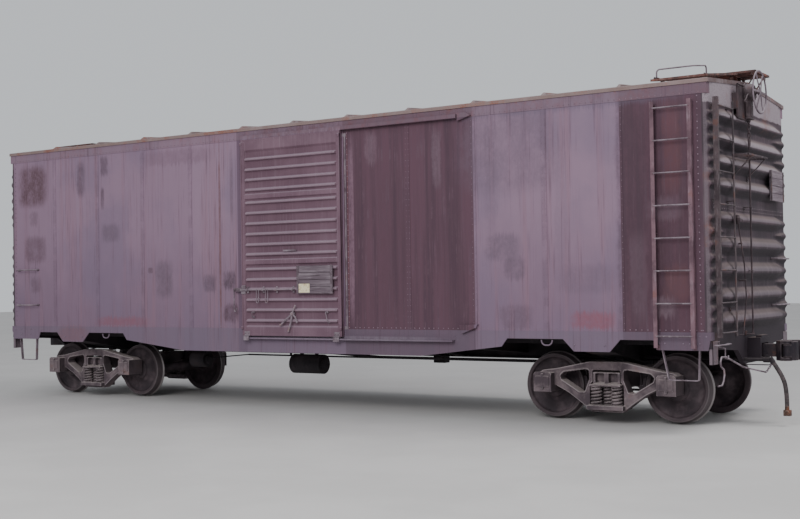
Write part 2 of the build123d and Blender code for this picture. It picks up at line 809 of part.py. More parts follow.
sill_outlines = [  # x and height of each hanging plate's lower edge
    [(-3500, 1058), (-3415, 950), (-2180, 805), (2180, 805), (3415, 950), (3500, 1058)],
    [(4290, 1058), (4440, 905), (4918, 905), (5060, 1058)],
    [(5485, 1058), (5530, 940), (6160, 940), (6185, 1058)],
    [(-5060, 1058), (-4918, 905), (-4440, 905), (-4290, 1058)],
    [(-6185, 1058), (-6160, 940), (-5530, 940), (-5485, 1058)],
]


def side_sill():
    beam = block((-half_body, half_body), (-sill_face, -wall_in), (sill_low_h, sill_top_h))
    beam -= block((-opening_half, opening_half), (-sill_face, -wall_in), (floor_top_h, sill_top_h))
    plates = [along(outline, (-sill_face, sill_plate - sill_face)) for outline in sill_outlines]
    return joined([beam] + plates)


pair("side_sills", side_sill())

# Side walls between the corner posts and the door posts


def side_wall(side):
    x = sorted((side * post_edge, side * (half_body - corner_width)))
    wall = block(x, (-wall_out, -wall_in), (sill_top_h, fascia_low_h))
    strips = []
    for count in range(1, 5):
        middle = side * (door_bay + count * panel_pitch)
        strips.append(block((middle - seam_width / 2, middle + seam_width / 2),
                            (-wall_out - seam_proud, -wall_out), (sill_top_h, fascia_low_h)))
    return joined([wall] + strips)


near_walls = [side_wall(1), side_wall(-1)]
save("side_panels_near", near_walls)
save("side_panels_far", [turned(wall) for wall in near_walls])

posts = [block(sorted((side * opening_half, side * post_edge)), (-wall_out - sill_proud, -wall_in),
               (sill_top_h, fascia_low_h)) for side in (1, -1)]
save("door_posts", posts + [turned(post) for post in posts])

corner_x = half_body - corner_width
round_x = half_body - corner_round
round_y = wall_out - corner_round
turn = corner_round * cos(radians(45))


def corner_post(flank):
    line = Polyline((round_x, flank * wall_out), (corner_x, flank * wall_out), (corner_x, flank * wall_in),
                    (half_body, flank * wall_in), (half_body, flank * round_y))
    curve = ThreePointArc((half_body, flank * round_y), (round_x + turn, flank * (round_y + turn)),
                          (round_x, flank * wall_out))
    face = Pos(0, 0, up(sill_top_h)) * make_face([line, curve])
    return extrude(face, amount=fascia_low_h - sill_top_h, dir=(0, 0, 1))


corners = [corner_post(1), corner_post(-1)]
save("corner_posts", corners + [turned(corner) for corner in corners])

side_plate = across([(-wall_in, fascia_low_h), (-wall_out - fascia_proud, fascia_low_h),
                     (-wall_out - fascia_proud, under_roof(wall_out + fascia_proud)),
                     (-wall_in, under_roof(wall_in))], (-half_body, half_body))
pair("side_plates", side_plate)

# Ends: two pressed panels with tapered ribs, and a plain gable above

end_ribs_low = [(1279, 104), (1566, 104), (1874, 104), (2185, 104), (2501, 92)]
end_ribs_high = [(2896, 96), (3172, 96), (3444, 96), (3729, 88)]    # height, half height


def end_rib(height, half_height):
    rib = pressed_rib(end_rib_length / 2, end_rib_taper, end_rib_depth, half_height)
    return Pos(half_body, 0, up(height)) * Rot(0, 0, 90) * rib


def end_dart(height, flank):
    dart = pressed_rib(dart_length / 2, dart_length * 0.4, dart_depth, dart_half)
    return Pos(half_body, flank * dart_y, up(height)) * Rot(0, 0, 90) * dart


def end_panel(sheet, ribs):
    heights = [height for height, half_height in ribs]
    pieces = [sheet] + [end_rib(*rib) for rib in ribs]
    for low, high in zip(heights, heights[1:]):
        pieces += [end_dart((low + high) / 2, flank) for flank in (1, -1)]
    return joined(pieces)


end_x = (half_inside, half_body)
low_sheet = block(end_x, (-wall_in, wall_in), (floor_low_h, end_seam_h))
gable = [(-wall_in, end_seam_h), (wall_in, end_seam_h), (wall_in, under_roof(wall_in)),
         (0, under_roof(0)), (-wall_in, under_roof(wall_in))]
high_sheet = across(gable, end_x)
seam = block((half_body, half_body + end_seam_proud), (-wall_in, wall_in),
             (end_seam_h, end_seam_h + end_seam_width / 2))
low_seam = block((half_body, half_body + end_seam_proud), (-wall_in, wall_in),
                 (end_seam_h - end_seam_width / 2, end_seam_h))
gable_y = wall_in - gable_margin
gable_plate = across([(-gable_y, gable_low_h), (gable_y, gable_low_h), (gable_y, under_roof(gable_y) - 20),
                      (0, under_roof(0) - 20), (-gable_y, under_roof(gable_y) - 20)],
                     (half_body, half_body + gable_proud))
pair("end_panels_lower", end_panel(joined([low_sheet, low_seam]), end_ribs_low))
pair("end_panels_upper", end_panel(joined([high_sheet, seam, gable_plate]), end_ribs_high))

# Roof: one gable sheet with raised panels and a cap over each seam

roof_x = half_body + roof_end
seam_places = [0] + [side * (door_bay + count * panel_pitch) for count in range(5) for side in (1, -1)]
seam_places.sort()
roof_section = [(-eave_y, under_roof(eave_y)), (0, under_roof(0)), (eave_y, under_roof(eave_y)),
                (eave_y, eave_h), (0, ridge_h), (-eave_y, eave_h)]


def over_strip(y_in, y_out, rise, x, flank):
    """Strip lying on one slope of the roof."""
    points = [(y_in, over_roof(y_in) - 2), (y_out, over_roof(y_out) - 2),
              (y_out, over_roof(y_out) + rise), (y_in, over_roof(y_in) + rise)]
    return across([(flank * y, h) for y, h in points], x)


roof_pieces = [across(roof_section, (-roof_x, roof_x))]
bay_edges = [-roof_x] + seam_places + [roof_x]
for left, right in zip(bay_edges, bay_edges[1:]):
    inset = (left + roof_panel_margin, right - roof_panel_margin)
    for flank in (1, -1):
        roof_pieces.append(over_strip(70, eave_y - 90, roof_panel_rise, inset, flank))
for x in seam_places:
    for flank in (1, -1):
        roof_pieces.append(over_strip(0, wall_out, cap_height, (x - cap_width / 2, x + cap_width / 2), flank))
save("roof", [joined(roof_pieces)])

# Doors and their tracks

door_in = wall_out + door_gap
door_out = door_in + door_sheet
door_ribs = [3649, 3494, 3343, 3195, 3004, 2849, 2693, 2538, 2383, 2240, 2022, 1869, 1726, 1571, 1421, 1267]
tack_x, tack_h = (149, 779), (1660, 2058)


def door():
    sheet = block((-door_half, door_half), (-door_out, -door_in), (door_low_h, door_top_h))
    rib = pressed_rib(door_rib_length / 2, door_rib_taper, door_rib_depth, door_rib_half)
    ribs = [Pos(0, -door_out, up(height)) * rib for height in door_ribs]
    stile_y = (-door_out - door_stile_proud, -door_out)
    stiles = [block(sorted((side * door_half, side * (door_half - door_stile))), stile_y,
                    (door_low_h, door_top_h - door_head)) for side in (1, -1)]
    guide_h = (track_top_h + running_gap, door_low_h)
    guides = [block((side * guide_x - guide_width / 2, side * guide_x + guide_width / 2),
                    (-door_out - door_stile_proud, -door_in), guide_h) for side in (1, -1)]
    hasp = block((hasp_end, -door_half), (-door_out - hasp_y[0], -door_out + hasp_y[1]), hasp_h)
    latch = block((-door_half - latch_x[0], -door_half + latch_x[1]), (-door_out - latch_depth, -door_out),
                  latch_h)
    return joined([sheet] + ribs + stiles + guides + [hasp, latch])


board_in = door_out + door_rib_depth
near_door = door()
near_board = block(tack_x, (-board_in - board_thickness, -board_in), tack_h)
save("door_near", [near_door])
save("door_far", [turned(near_door)])
save("door_near_tack_board", [near_board])
save("door_far_tack_board", [turned(near_board)])

track_x = (-door_half - 10, track_end)
track_out = sill_face + track_reach
low_track = joined([
    block(track_x, (-track_out, -sill_face), (track_top_h - track_thickness, track_top_h)),
    block(track_x, (-track_out, track_thickness - track_out), (track_low_h, track_top_h)),
    block(track_x, (-sill_face - track_back[0], -sill_face), (track_low_h, track_back[1])),
])
hood_out = door_out + 8 + hood_thickness
hood_x = (track_x[0], hood_end)
hood_y = wall_out + fascia_proud
hood = joined([
    block(hood_x, (-hood_out, -hood_y), (hood_top_h - hood_thickness, hood_top_h)),
    block(hood_x, (-hood_out, hood_thickness - hood_out), (hood_top_h - hood_lip, hood_top_h)),
    block(hood_x, (-hood_y - hood_thickness / 2, -hood_y), (hood_top_h - hood_thickness, hood_top_h + 30)),
])
stops = [along(outline, (-hood_y - stop_depth, -hood_y)) for outline in stop_outlines]
stops[0] += along(stop_outlines[0], (-hood_y, -wall_out - seam_proud))
save("door_tracks", [piece for shape in [low_track, hood] + stops for piece in (shape, turned(shape))])

# Ladders, grab irons and sill steps


def rung_heights():
    return [first_rung_h + rung_pitch * count for count in range(rung_count)]


def side_ladder():
    face = wall_out + ladder_standoff
    pieces = []
    for x in side_ladder_x:
        edge = (x - stile_width / 2, x + stile_width / 2)
        outer = edge[0] if x == side_ladder_x[0] else edge[1] - stile_thickness
        pieces.append(block(edge, (-face - stile_thickness, -face), side_ladder_h))
        pieces.append(block((outer, outer + stile_thickness), (-face, stile_leg - face), side_ladder_h))
        for h, depth in ((side_ladder_h[0] + ladder_foot_bracket, sill_face), (ladder_mid_bracket_h, wall_out),
                         (side_ladder_h[1] - ladder_top_bracket, wall_out)):
            pieces.append(block(edge, (-face, -depth), (h - bracket_half, h + bracket_half)))
    for h in rung_heights():
        pieces.append(bar([(side_ladder_x[0], -face - stile_thickness / 2, h),
                           (side_ladder_x[1], -face - stile_thickness / 2, h)], rung_radius))
    return joined(pieces)


def end_ladder():
    face = half_body + end_ladder_standoff
    pieces = []
    for y in end_ladder_y:
        edge = (y - stile_width / 2, y + stile_width / 2)
        pieces.append(block((face - stile_thickness, face), edge, end_ladder_h))
        if y == end_ladder_y[0]:
            leg_y = (edge[0], edge[0] + stile_thickness)
            pieces.append(block((face - end_stile_leg, face), leg_y, end_ladder_h))
        for h in (end_bracket_low_h, end_seam_h + end_bracket_above_seam, end_ladder_h[1] - end_bracket_top):
            pieces.append(block((half_body, face - stile_thickness), edge,
                                (h - end_bracket_half, h + end_bracket_half)))
    for h in rung_heights():
        pieces.append(bar([(face - stile_thickness / 2, end_ladder_y[0], h),
                           (face - stile_thickness / 2, end_ladder_y[1], h)], rung_radius))
    return joined(pieces)


ladder_pieces = [side_ladder(), end_ladder()]
save("ladders", ladder_pieces + [turned(ladder) for ladder in ladder_pieces])

# Roof walk: what is left of it at the ends, with a side board down to each ladder

board_rise = 106.0          # of its top above the ridge
board_slab = 28.0
board_half = 290.0
board_end = 6400.0
board_start = 5500.0
board_top_h = ridge_h + board_rise
lateral_width = 680.0
lateral_lap = 20.0
lateral_drop = 13.0
lateral_rise = 48.7
lateral_out = 1470.0
lateral_y = (-lateral_out, lateral_lap - board_half)
lateral_h = (over_roof(lateral_out) + lateral_rise, board_top_h - lateral_drop)
lateral_x = (board_start, board_start + lateral_width)
strap_places = (board_start + 120, board_start + 580)
strap_half = 20.0
saddle_inset = 40.0
foot_places = (-1380.0, -820.0)
foot_half = 30.0
board_sink = 6.0
brace_drop = 165.0          # of its foot below the ridge
brace_bar = 40.0
brace_y = (160.0, 200.0)


def lateral_top(y):
    share = (y - lateral_y[0]) / (lateral_y[1] - lateral_y[0])
    return lateral_h[0] + share * (lateral_h[1] - lateral_h[0])


def running_board():
    """End piece of the roof walk with the sloping side board down to the ladder."""
    gable_face = half_body + gable_proud
    brace_foot_h = ridge_h - brace_drop
    under = board_top_h - board_slab
    slab = block((board_start, board_end), (-board_half, board_half), (under, board_top_h))
    lateral = across([(lateral_y[0], lateral_h[0] - board_slab), (lateral_y[1], lateral_h[1] - board_slab),
                      (lateral_y[1], lateral_h[1]), (lateral_y[0], lateral_h[0])], lateral_x)
    pieces = [slab, lateral]
    half = board_half - saddle_inset
    seat = over_roof(half) + roof_panel_rise
    for x in strap_places:
        span = (x - strap_half, x + strap_half)
        saddle = [(-half, seat), (0, over_roof(0) + roof_panel_rise), (half, seat),
                  (half, under + board_sink), (-half, under + board_sink)]
        pieces.append(across(saddle, span))
        for y in foot_places:
            low, high = y - foot_half, y + foot_half
            foot = [(low, over_roof(low) + roof_panel_rise), (high, over_roof(high) + roof_panel_rise),
                    (high, lateral_top(high) - board_slab + board_sink),
                    (low, lateral_top(low) - board_slab + board_sink)]
            pieces.append(across(foot, span))
    brace_top = board_end - brace_bar
    brace = along([(gable_face, brace_foot_h), (brace_top, under + board_sink),
                   (brace_top - brace_bar, under + board_sink),
                   (gable_face, brace_foot_h + brace_bar)], brace_y)
    return joined(pieces + [brace])


pair("running_boards", running_board())


def side_grab(h, x):
    y = -wall_out - grab_standoff
    path = [(x[0], -wall_out, h), (x[0], y, h), (x[1], y, h), (x[1], -wall_out, h)]
    return bar(path, grab_radius, grab_bend)


def end_grab(h, y):
    x = half_body + grab_standoff + end_grab_extra
    path = [(half_body, y[0], h), (x, y[0], h), (x, y[1], h), (half_body, y[1], h)]
    return bar(path, grab_radius, grab_bend)


grab_feet = [lateral_top(y + grab_radius) for y in roof_grab_y]
grab_tops = [lateral_top(y) + roof_grab_rise for y in roof_grab_y]
(near_x, far_x), (near_y, far_y) = roof_grab_x, roof_grab_y
roof_grab_path = [
    (near_x, near_y, grab_feet[0]), (near_x, near_y, grab_tops[0]), (far_x, near_y, grab_tops[0]),
    (far_x, far_y, grab_tops[1]), (far_x, far_y, grab_feet[1]),
]
roof_grab = bar(roof_grab_path, grab_radius, roof_grab_bend)
grabs = [side_grab(h, side_grab_x) for h in side_grab_h]
grabs += [end_grab(h, end_grab_y) for h in end_grab_h]
grabs.append(roof_grab)
save("grab_irons", grabs + [turned(grab) for grab in grabs])


def sill_step(x_top, x_low):
    """Flat bar bent down from the side sill to a tread."""
    outer = [(x_top[0], step_top_h), (x_low[0], step_low_h), (x_low[1], step_low_h), (x_top[1], step_top_h)]
    inner = [(x_top[0] + step_bar, step_top_h), (x_low[0] + step_bar, step_low_h + step_bar),
             (x_low[1] - step_bar, step_low_h + step_bar), (x_top[1] - step_bar, step_top_h)]
    y = (sill_plate - sill_face, sill_plate - sill_face + step_width)
    return along(outer, y) - along(inner, y)


steps = [sill_step(x_top, x_low) for x_top, x_low in step_table]
save("sill_steps", steps + [turned(step) for step in steps])

# Hand brake on the brake end


rib_face = half_body + end_rib_depth
brake_wheel_h = ridge_h - brake_wheel_drop
housing_h = (ridge_h - housing_drop - housing_height, ridge_h - housing_drop)


def brake_housing():
    """Gear housing of the hand brake on its backing plate."""
    front = rib_face + backing_plate
    low = housing_h[0]
    leg_span = (low + housing_leg_h[0], low + housing_leg_h[1])
    legs = [block((half_body + gable_proud, rib_face), (y - housing_leg / 2, y + housing_leg / 2), leg_span)
            for y in (housing_y[0] + housing_leg_inset, housing_y[1] - housing_leg_inset)]
    backing = block((rib_face, front), housing_y, housing_h)
    case = drum((front + case_depth / 2, brake_wheel_y, brake_wheel_h), case_radius, case_depth)
    chute = block((front, front + chute_depth), (brake_wheel_y - chute_half, brake_wheel_y + chute_half),
                  (low + chute_h[0], low + chute_h[1]))
    shaft = drum((brake_wheel_x - shaft_length / 2, brake_wheel_y, brake_wheel_h), shaft_radius, shaft_length)
    return joined([backing, case, chute, shaft] + legs)


def brake_wheel():
    place = (brake_wheel_x, brake_wheel_y, brake_wheel_h)
    rim = Pos(place[0], place[1], up(place[2])) * Rot(0, 90, 0) * Torus(brake_wheel_radius, brake_wheel_rim)
    hub = drum(place, wheel_hub_radius, wheel_hub_length)
    hub -= drum((brake_wheel_x - wheel_hub_length / 4, brake_wheel_y, brake_wheel_h), shaft_radius,
                wheel_hub_length / 2)
    spokes = []
    for count in range(wheel_spokes):
        angle = 2 * pi * count / wheel_spokes
        ends = [(brake_wheel_x, brake_wheel_y + reach * cos(angle), brake_wheel_h + reach * sin(angle))
                for reach in (shaft_radius + 10, brake_wheel_radius)]
        spokes.append(bar(ends, spoke_radius))
    return joined([rim, hub] + spokes)


rod_x = half_body + brake_rod_standoff
clevis_y = (brake_rod_y - clevis_width / 2, brake_rod_y + clevis_width / 2)
bracket_y = (brake_rod_y - rod_bracket_width / 2, brake_rod_y + rod_bracket_width / 2)
brake_rod = joined([
    bar([(rod_x, brake_rod_y, h) for h in (brake_rod_foot_h, housing_h[0] + chute_h[0])], brake_rod_radius),
    block((half_body, rod_x + clevis_half), bracket_y,
          (brake_rod_foot_h - rod_bracket_half, brake_rod_foot_h + 2 * rod_bracket_half)),
] + [block((rod_x - clevis_half, rod_x + clevis_half), clevis_y, h) for h in clevis_h])
valve_y, valve_h = retainer_points[0]
valve_width, valve_height = retainer_valve
foot_y, foot_h = retainer_points[-1]
retainer = joined([
    bar([(rod_x, y, h) for y, h in retainer_points], retainer_radius, retainer_bend),
    block((rib_face, rod_x + 2 * retainer_radius), (valve_y - valve_width / 2, valve_y + valve_width / 2),
          (valve_h - valve_height / 4, valve_h + 3 * valve_height / 4)),
    block((half_body, rod_x), (foot_y - rod_bracket_half, foot_y + rod_bracket_half),
          (foot_h, foot_h + 2 * rod_bracket_half)),
])
save("brake_housing", [brake_housing()])
save("brake_wheel", [brake_wheel()])
save("brake_rods", [brake_rod, retainer])

step_x = (half_body + brake_step_x[0], half_body + brake_step_x[1])
step_low, step_high = brake_step_h, brake_step_h + brake_step_thickness
foot_h = step_high - brake_step_drop
arm = brake_step_arm
notch = block((step_x[0], rod_x + brake_step_notch),
              (brake_rod_y - brake_step_notch, brake_rod_y + brake_step_notch), (step_low, step_high))
step_pieces = [block(step_x, brake_step_y, (step_low, step_high)) - notch]
for y in brake_step_arm_y:
    strut = [(half_body, foot_h - arm / 2), (half_body, foot_h + arm / 2), (step_x[1] - arm, step_low + 2),
             (step_x[1] - arm / 4, step_low + 2)]
    step_pieces.append(block((half_body, step_x[0] + arm / 2), (y, y + arm), (step_high - 14, step_high)))
    step_pieces.append(along(strut, (y + 10, y + 22)))
save("brake_step", [joined(step_pieces)])

end_board_x = (rib_face, rib_face + board_thickness)
pair("end_tack_boards", block(end_board_x, end_board_y, end_board_h))

# Air brake under the floor


def slung_drum(place, size):
    """Cylinder along X hung from the floor by two straps."""
    x, y, h = place
    radius, length, ends = size
    body = drum(place, radius, length)
    caps = [drum((x + side * length / 2, y, h), radius * 0.6, 2 * ends) for side in (1, -1)]
    along_x, across_y = unit_strap
    hangers = [block((x + side * length / 4 - along_x / 2, x + side * length / 4 + along_x / 2),
                     (y - across_y / 2, y + across_y / 2), (h, floor_low_h)) for side in (1, -1)]
    return joined([body] + caps + hangers)


reservoir = slung_drum(reservoir_place, reservoir_size)
cylinder = slung_drum(cylinder_place, cylinder_size)
valve_hanger_low_h = valve_blocks[0][2][1] - valve_hanger_sink
valve_hanger_block = block(valve_hanger_x, valve_hanger_y, (valve_hanger_low_h, floor_low_h))
valve = joined([block(*sizes) for sizes in valve_blocks] + [valve_hanger_block])
save("air_brake_units", [reservoir, cylinder, valve])

line_x = (cock_x - cock_length / 2,) + train_line_bends
line_h = (train_line_h, train_line_h, train_line_low_h, train_line_low_h)
line_points = [(x, train_line_y, h) for x, h in zip(line_x, line_h)]
line_points += [(-x, -y, h) for x, y, h in reversed(line_points)]
train_pipe = bar(line_points, pipe_radius, train_line_bend)
hose_points = [  # x, y and height of the hose's route at the brake end, from the cock to the glad hand
    (6560, -330, 740), (6667, -330, 587), (6715, -330, 406), (6715, -330, 219),
]
way_out = Vector(*hose_points[1]) - Vector(*hose_points[0])


def angle_cock():
    """Valve at the end of the train line, with the nipple that the hose is pushed on."""
    x, y, h = hose_points[0]
    nipple = bar([(x - way_out.X * 0.35, y, h - way_out.Z * 0.35), (x, y, h)], hose_radius + 5)
    return joined([
        drum((cock_x, y, train_line_h), cock_radius, cock_length),
        bar([(cock_x, y, train_line_h), (x - way_out.X * 0.2, y, h - way_out.Z * 0.2)], cock_neck),
        nipple,
        block(cock_handle_x, (y - 12, y + 12), (train_line_h, train_line_h + cock_handle)),
    ])


cock = angle_cock()
save("train_line", [joined([train_pipe, cock, turned(cock)])])


def corner_radii(points):
    """Arc radius at each inner point: 0.45 of the shorter run over the tangent of half the turn."""
    spots = [Vector(*point) for point in points]
    radii = []
    for before, here, after in zip(spots, spots[1:], spots[2:]):
        turn_angle = (here - before).get_angle(after - here)
        shorter = min((here - before).length, (after - here).length)
        radii.append(0.45 * shorter / tan(radians(turn_angle / 2)))
    return radii


def hose():
    radii = corner_radii(hose_points)
    path = FilletPolyline(*[(x, y, up(h)) for x, y, h in hose_points], radius=radii)
    tube = sweep(Plane(origin=path @ 0, z_dir=path % 0) * Circle(hose_radius), path=path)
    print("hose radii", [round(radius) for radius in radii], "length", round(path.length, 1))
    solid_share = tube.volume / (pi * hose_radius ** 2 * path.length)
    print("hose volume over section times length", round(solid_share, 5))
    return tube


def glad_hand():
    """Hose coupling that hangs at the hose's end."""
    x, y, h = hose_points[-1]
    neck = bar([(x, y, h), (x, y, h - hand_neck)], hose_radius)
    head = block((x + hand_x[0], x + hand_x[1]), (y - hand_half, y + hand_half),
                 (h + hand_h[0], h + hand_h[1]))
    dx, dy, dh = hand_face_place
    return joined([neck, head, drum((x + dx, y + dy, h + dh), hand_face, 20, "y")])


hose_b = hose()
hand_b = glad_hand()
save("air_hose_b", [hose_b])
save("air_hose_a", [turned(hose_b)])
save("glad_hand_b", [hand_b])
save("glad_hand_a", [turned(hand_b)])

hanger_half, hanger_thickness = rod_hanger_size[0] / 2, rod_hanger_size[1]
levers = [bar([(x, long_rod_y, long_rod_h) for x in long_rod_x], long_rod_radius)]
for x in rod_hangers:
    levers.append(block((x - hanger_half, x + hanger_half),
                        (long_rod_y - hanger_thickness / 2, long_rod_y + hanger_thickness / 2),
                        (long_rod_h, centre_sill_low_h)))
lever_span, lever_y, lever_thickness = live_lever
lever_h = (long_rod_h - lever_thickness / 2, long_rod_h + lever_thickness / 2)
levers.append(block(lever_span, lever_y, lever_h))
save("underframe_rods", [joined(levers)])

lever_x = half_body + uncoupling_standoff
route = [(lever_x + dx, y, h) for dx, y, h in uncoupling_route]
half_bracket = uncoupling_bracket / 2
uncoupling = joined([bar(route, uncoupling_radius, uncoupling_bend)] + [
    block((half_body, lever_x + 14), (y - half_bracket, y + half_bracket), uncoupling_bracket_h)
    for y in uncoupling_brackets])
pair("uncoupling_levers", uncoupling)

# Couplers: the head swings in the striker's mouth, and the knuckle turns on its own pin


def about_pin(outline):
    """An outline given from the knuckle's pin, in the car's own places."""
    return [(knuckle_pin_x + dx, knuckle_pin_y + dy) for dx, dy in outline]


def coupler_head():
    """Shank, butt and head with its guard arm, and the lugs and pin that hold the knuckle."""
    half_shank = shank_height / 2
    shank_h = (coupler_h - half_shank, coupler_h + half_shank)
    shank = block((coupler_pivot, shank_end), (-shank_half, shank_half), shank_h)
    butt = drum((coupler_pivot, 0, coupler_h), butt_radius, shank_height, "z")
    head = flat(about_pin(head_outline), (coupler_h - head_height / 2, coupler_h + head_height / 2))
    head += drum((knuckle_pin_x, knuckle_pin_y, coupler_h), lug_radius, head_height, "z")
    half_jaw = knuckle_height / 2 - lug_height + moving_gap
    head -= flat(about_pin(jaw_outline), (coupler_h - half_jaw, coupler_h + half_jaw))
    pin = drum((knuckle_pin_x, knuckle_pin_y, coupler_h), knuckle_pin_radius, head_height, "z")
    return joined([shank, butt, head, pin])


def knuckle():
    """Hooked nose on a hub that turns about the pin between the head's lugs."""
    half = knuckle_height / 2
    half_hub = half - lug_height
    centre = (knuckle_pin_x, knuckle_pin_y, coupler_h)
    pieces = [
        flat(about_pin(nose_outline), (coupler_h - half, coupler_h + half)),
        flat(about_pin(web_outline), (coupler_h - half_hub, coupler_h + half_hub)),
        drum(centre, knuckle_hub, 2 * half_hub, "z"),
    ]
    return joined(pieces) - drum(centre, knuckle_pin_radius + running_gap, knuckle_height, "z")


coupler_b = coupler_head()
knuckle_b = knuckle()
save("coupler_b", [coupler_b])
save("coupler_a", [turned(coupler_b)])
save("knuckle_b", [knuckle_b])
save("knuckle_a", [turned(knuckle_b)])
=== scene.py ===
import functools
import math
import bmesh
import bpy
import numpy as np
from mathutils import Matrix, Vector


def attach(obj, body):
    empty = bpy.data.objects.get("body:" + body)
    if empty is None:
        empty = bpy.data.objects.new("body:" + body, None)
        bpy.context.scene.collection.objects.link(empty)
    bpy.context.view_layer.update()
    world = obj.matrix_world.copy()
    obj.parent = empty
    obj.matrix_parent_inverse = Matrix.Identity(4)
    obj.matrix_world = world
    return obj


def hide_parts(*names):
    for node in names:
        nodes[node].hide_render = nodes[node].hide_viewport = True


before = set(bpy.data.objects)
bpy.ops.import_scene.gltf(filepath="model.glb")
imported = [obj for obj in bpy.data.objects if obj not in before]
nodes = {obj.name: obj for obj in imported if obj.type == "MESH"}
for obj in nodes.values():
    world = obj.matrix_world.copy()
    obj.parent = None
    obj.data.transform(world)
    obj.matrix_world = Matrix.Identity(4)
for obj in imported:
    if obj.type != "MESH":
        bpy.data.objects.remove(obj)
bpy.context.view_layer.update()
print("frame loaded,", len(nodes), "nodes")

railTop = 0.025  # the wheels' flanges reach this far below the top of the rail
wallFace = 1.500  # outer face of the side sheets, from the centre line
sillFace = 1.503
endFace = 6.200  # outer face of the end sheets
doorBay = 0.972  # first seam of the side sheets, from the car's centre
panelPitch = 1.031

# Camera: a plain lens at a standing person's eye, where the photograph was taken from
view = {
    "place": (11.100, -15.339, 1.812),
    "turn": 0.5886,    # from looking along +Y towards -X, in radians
    "rise": 0.0194,
    "roll": -0.0159,
    "lens": 55.0,
    "sensor": 36.0,
    "far": 200.0,
}


def linkObject(name, data):
    # A new object at the origin, in the scene
    thing = bpy.data.objects.new(name, data)
    bpy.context.scene.collection.objects.link(thing)
    return thing


def makeCamera():
    # Looking down at first, then rolled, tipped up to a quarter turn and the rise, and turned
    camera = linkObject("camera", bpy.data.cameras.new("camera"))
    camera.matrix_world = Matrix.Translation(view["place"])
    for angle, axis in ((view["turn"], "Z"), (math.pi / 2 + view["rise"], "X"), (view["roll"], "Z")):
        camera.matrix_world = camera.matrix_world @ Matrix.Rotation(angle, 4, axis)
    camera.data.lens = view["lens"]
    camera.data.sensor_width = view["sensor"]
    camera.data.clip_end = view["far"]
    bpy.context.scene.camera = camera


makeCamera()

# Kinds of node: the node, its own fields, the inputs that values go to in turn, and its output (None: all)
kinds = {
    "place": ("TexCoord", {}, (), 3),
    "normal": ("TexCoord", {}, (), 1),
    "mark": ("Attribute", {}, (), 2),
    "split": ("SeparateXYZ", {}, (0,), None),
    "join": ("CombineXYZ", {}, (0, 1), 0),
    "noise": ("TexNoise", {}, ("Vector", "Scale", "Detail", "Roughness"), 0),
    "chance": ("TexWhiteNoise", {"noise_dimensions": "1D"}, ("W",), 0),
    "smooth": ("MapRange", {"interpolation_type": "SMOOTHSTEP"}, (0, 1, 2, 3, 4), 0),
    "mix": ("Mix", {"data_type": "RGBA"}, (0, 6, 7), 2),
    "stretch": ("VectorMath", {"operation": "MULTIPLY"}, (0, 1), 0),
    "fit": ("VectorMath", {"operation": "MULTIPLY_ADD"}, (0, 1, 2), 0),
    "length": ("VectorMath", {"operation": "LENGTH"}, (0,), 1),
    "bump": ("Bump", {}, ("Height", "Distance", "Strength"), 0),
    "surface": ("BsdfPrincipled", {},
                ("Base Color", "Roughness", "Normal", "Metallic", "Specular IOR Level"), 0),
    "output": ("OutputMaterial", {}, ("Surface",), None),
}
for name, operation, count in (("times", "MULTIPLY", 2), ("timesPlus", "MULTIPLY_ADD", 3), ("plus", "ADD", 2),
                               ("minus", "SUBTRACT", 2), ("least", "MINIMUM", 2), ("most", "MAXIMUM", 2),
                               ("whole", "FLOOR", 1), ("part", "FRACT", 1), ("size", "ABSOLUTE", 1),
                               ("sign", "SIGN", 1)):
    kinds[name] = ("Math", {"operation": operation}, range(count), 0)


def linear(colour):
    # sRGB hex to linear light: a straight stretch near black, and a power of 2.4 above it
    share = np.array([int(colour[i:i + 2], 16) for i in (1, 3, 5)]) / 255
    value = np.where(share <= 0.04045, share / 12.92, ((share + 0.055) / 1.055) ** 2.4)
    return (*value.tolist(), 1.0)


def addNode(tree, kind, *values, **fields):
    # One node: each value goes to the kind's next input, a socket as a link and a hex colour in linear
    # light. Values past the last input go to another node of the kind, after the first one's output.
    name, preset, inputs, out = kinds[kind]
    node = tree.nodes.new("ShaderNode" + name)
    for field, value in {**preset, **fields}.items():
        setattr(node, field, value)
    for place, value in zip(inputs, values):
        if isinstance(value, bpy.types.NodeSocket):
            tree.links.new(value, node.inputs[place])
        else:
            node.inputs[place].default_value = linear(value) if isinstance(value, str) else value
    result = node.outputs[:] if out is None else node.outputs[out]
    more = values[len(inputs):]
    return addNode(tree, kind, result, *more) if more else result


def startMaterial(name, noises, marks=()):
    # An empty material with named fields: fractal noises, each with its cycles per metre, along X, Y and
    # Z where they differ, its detail and its roughness, and marks, which are values that the mesh holds
    material = bpy.data.materials.new(name)
    material.use_nodes = True
    material.node_tree.nodes.clear()
    add = functools.partial(addNode, material.node_tree)
    place = add("place")
    field = {"place": place}
    for key, (stretch, *texture) in noises.items():
        scaled = add("stretch", place, (np.ones(3) * stretch).tolist())
        field[key] = add("noise", scaled, 1.0, *texture)
    for mark in marks:
        field[mark] = add("mark", attribute_name=mark)
    return add, field


def through(add, field, steps, strength=1.0):
    # Product of the strength and the steps, each a field as it is or its smooth step from low to high
    factors = [add("smooth", field[name], *limits) if limits else field[name] for name, *limits in steps]
    factors += [strength] if strength != 1.0 else []
    return add("times", *factors) if len(factors) > 1 else factors[0]


def layered(add, field, colour, *layers):
    # Each layer's colour, hex or a field, laid over what is under it in the share of its steps
    for over, strength, *steps in layers:
        colour = add("mix", through(add, field, steps, strength), colour, field.get(over, over))
    return colour


def finishMaterial(add, colour, roughness, height, depth, *rest):
    # A height of 1 stands out by the depth, in metres; the rest is how metallic and how glossy it is
    normal = add("bump", height, depth, 1.0)
    add("output", add("surface", colour, roughness, normal, *rest))


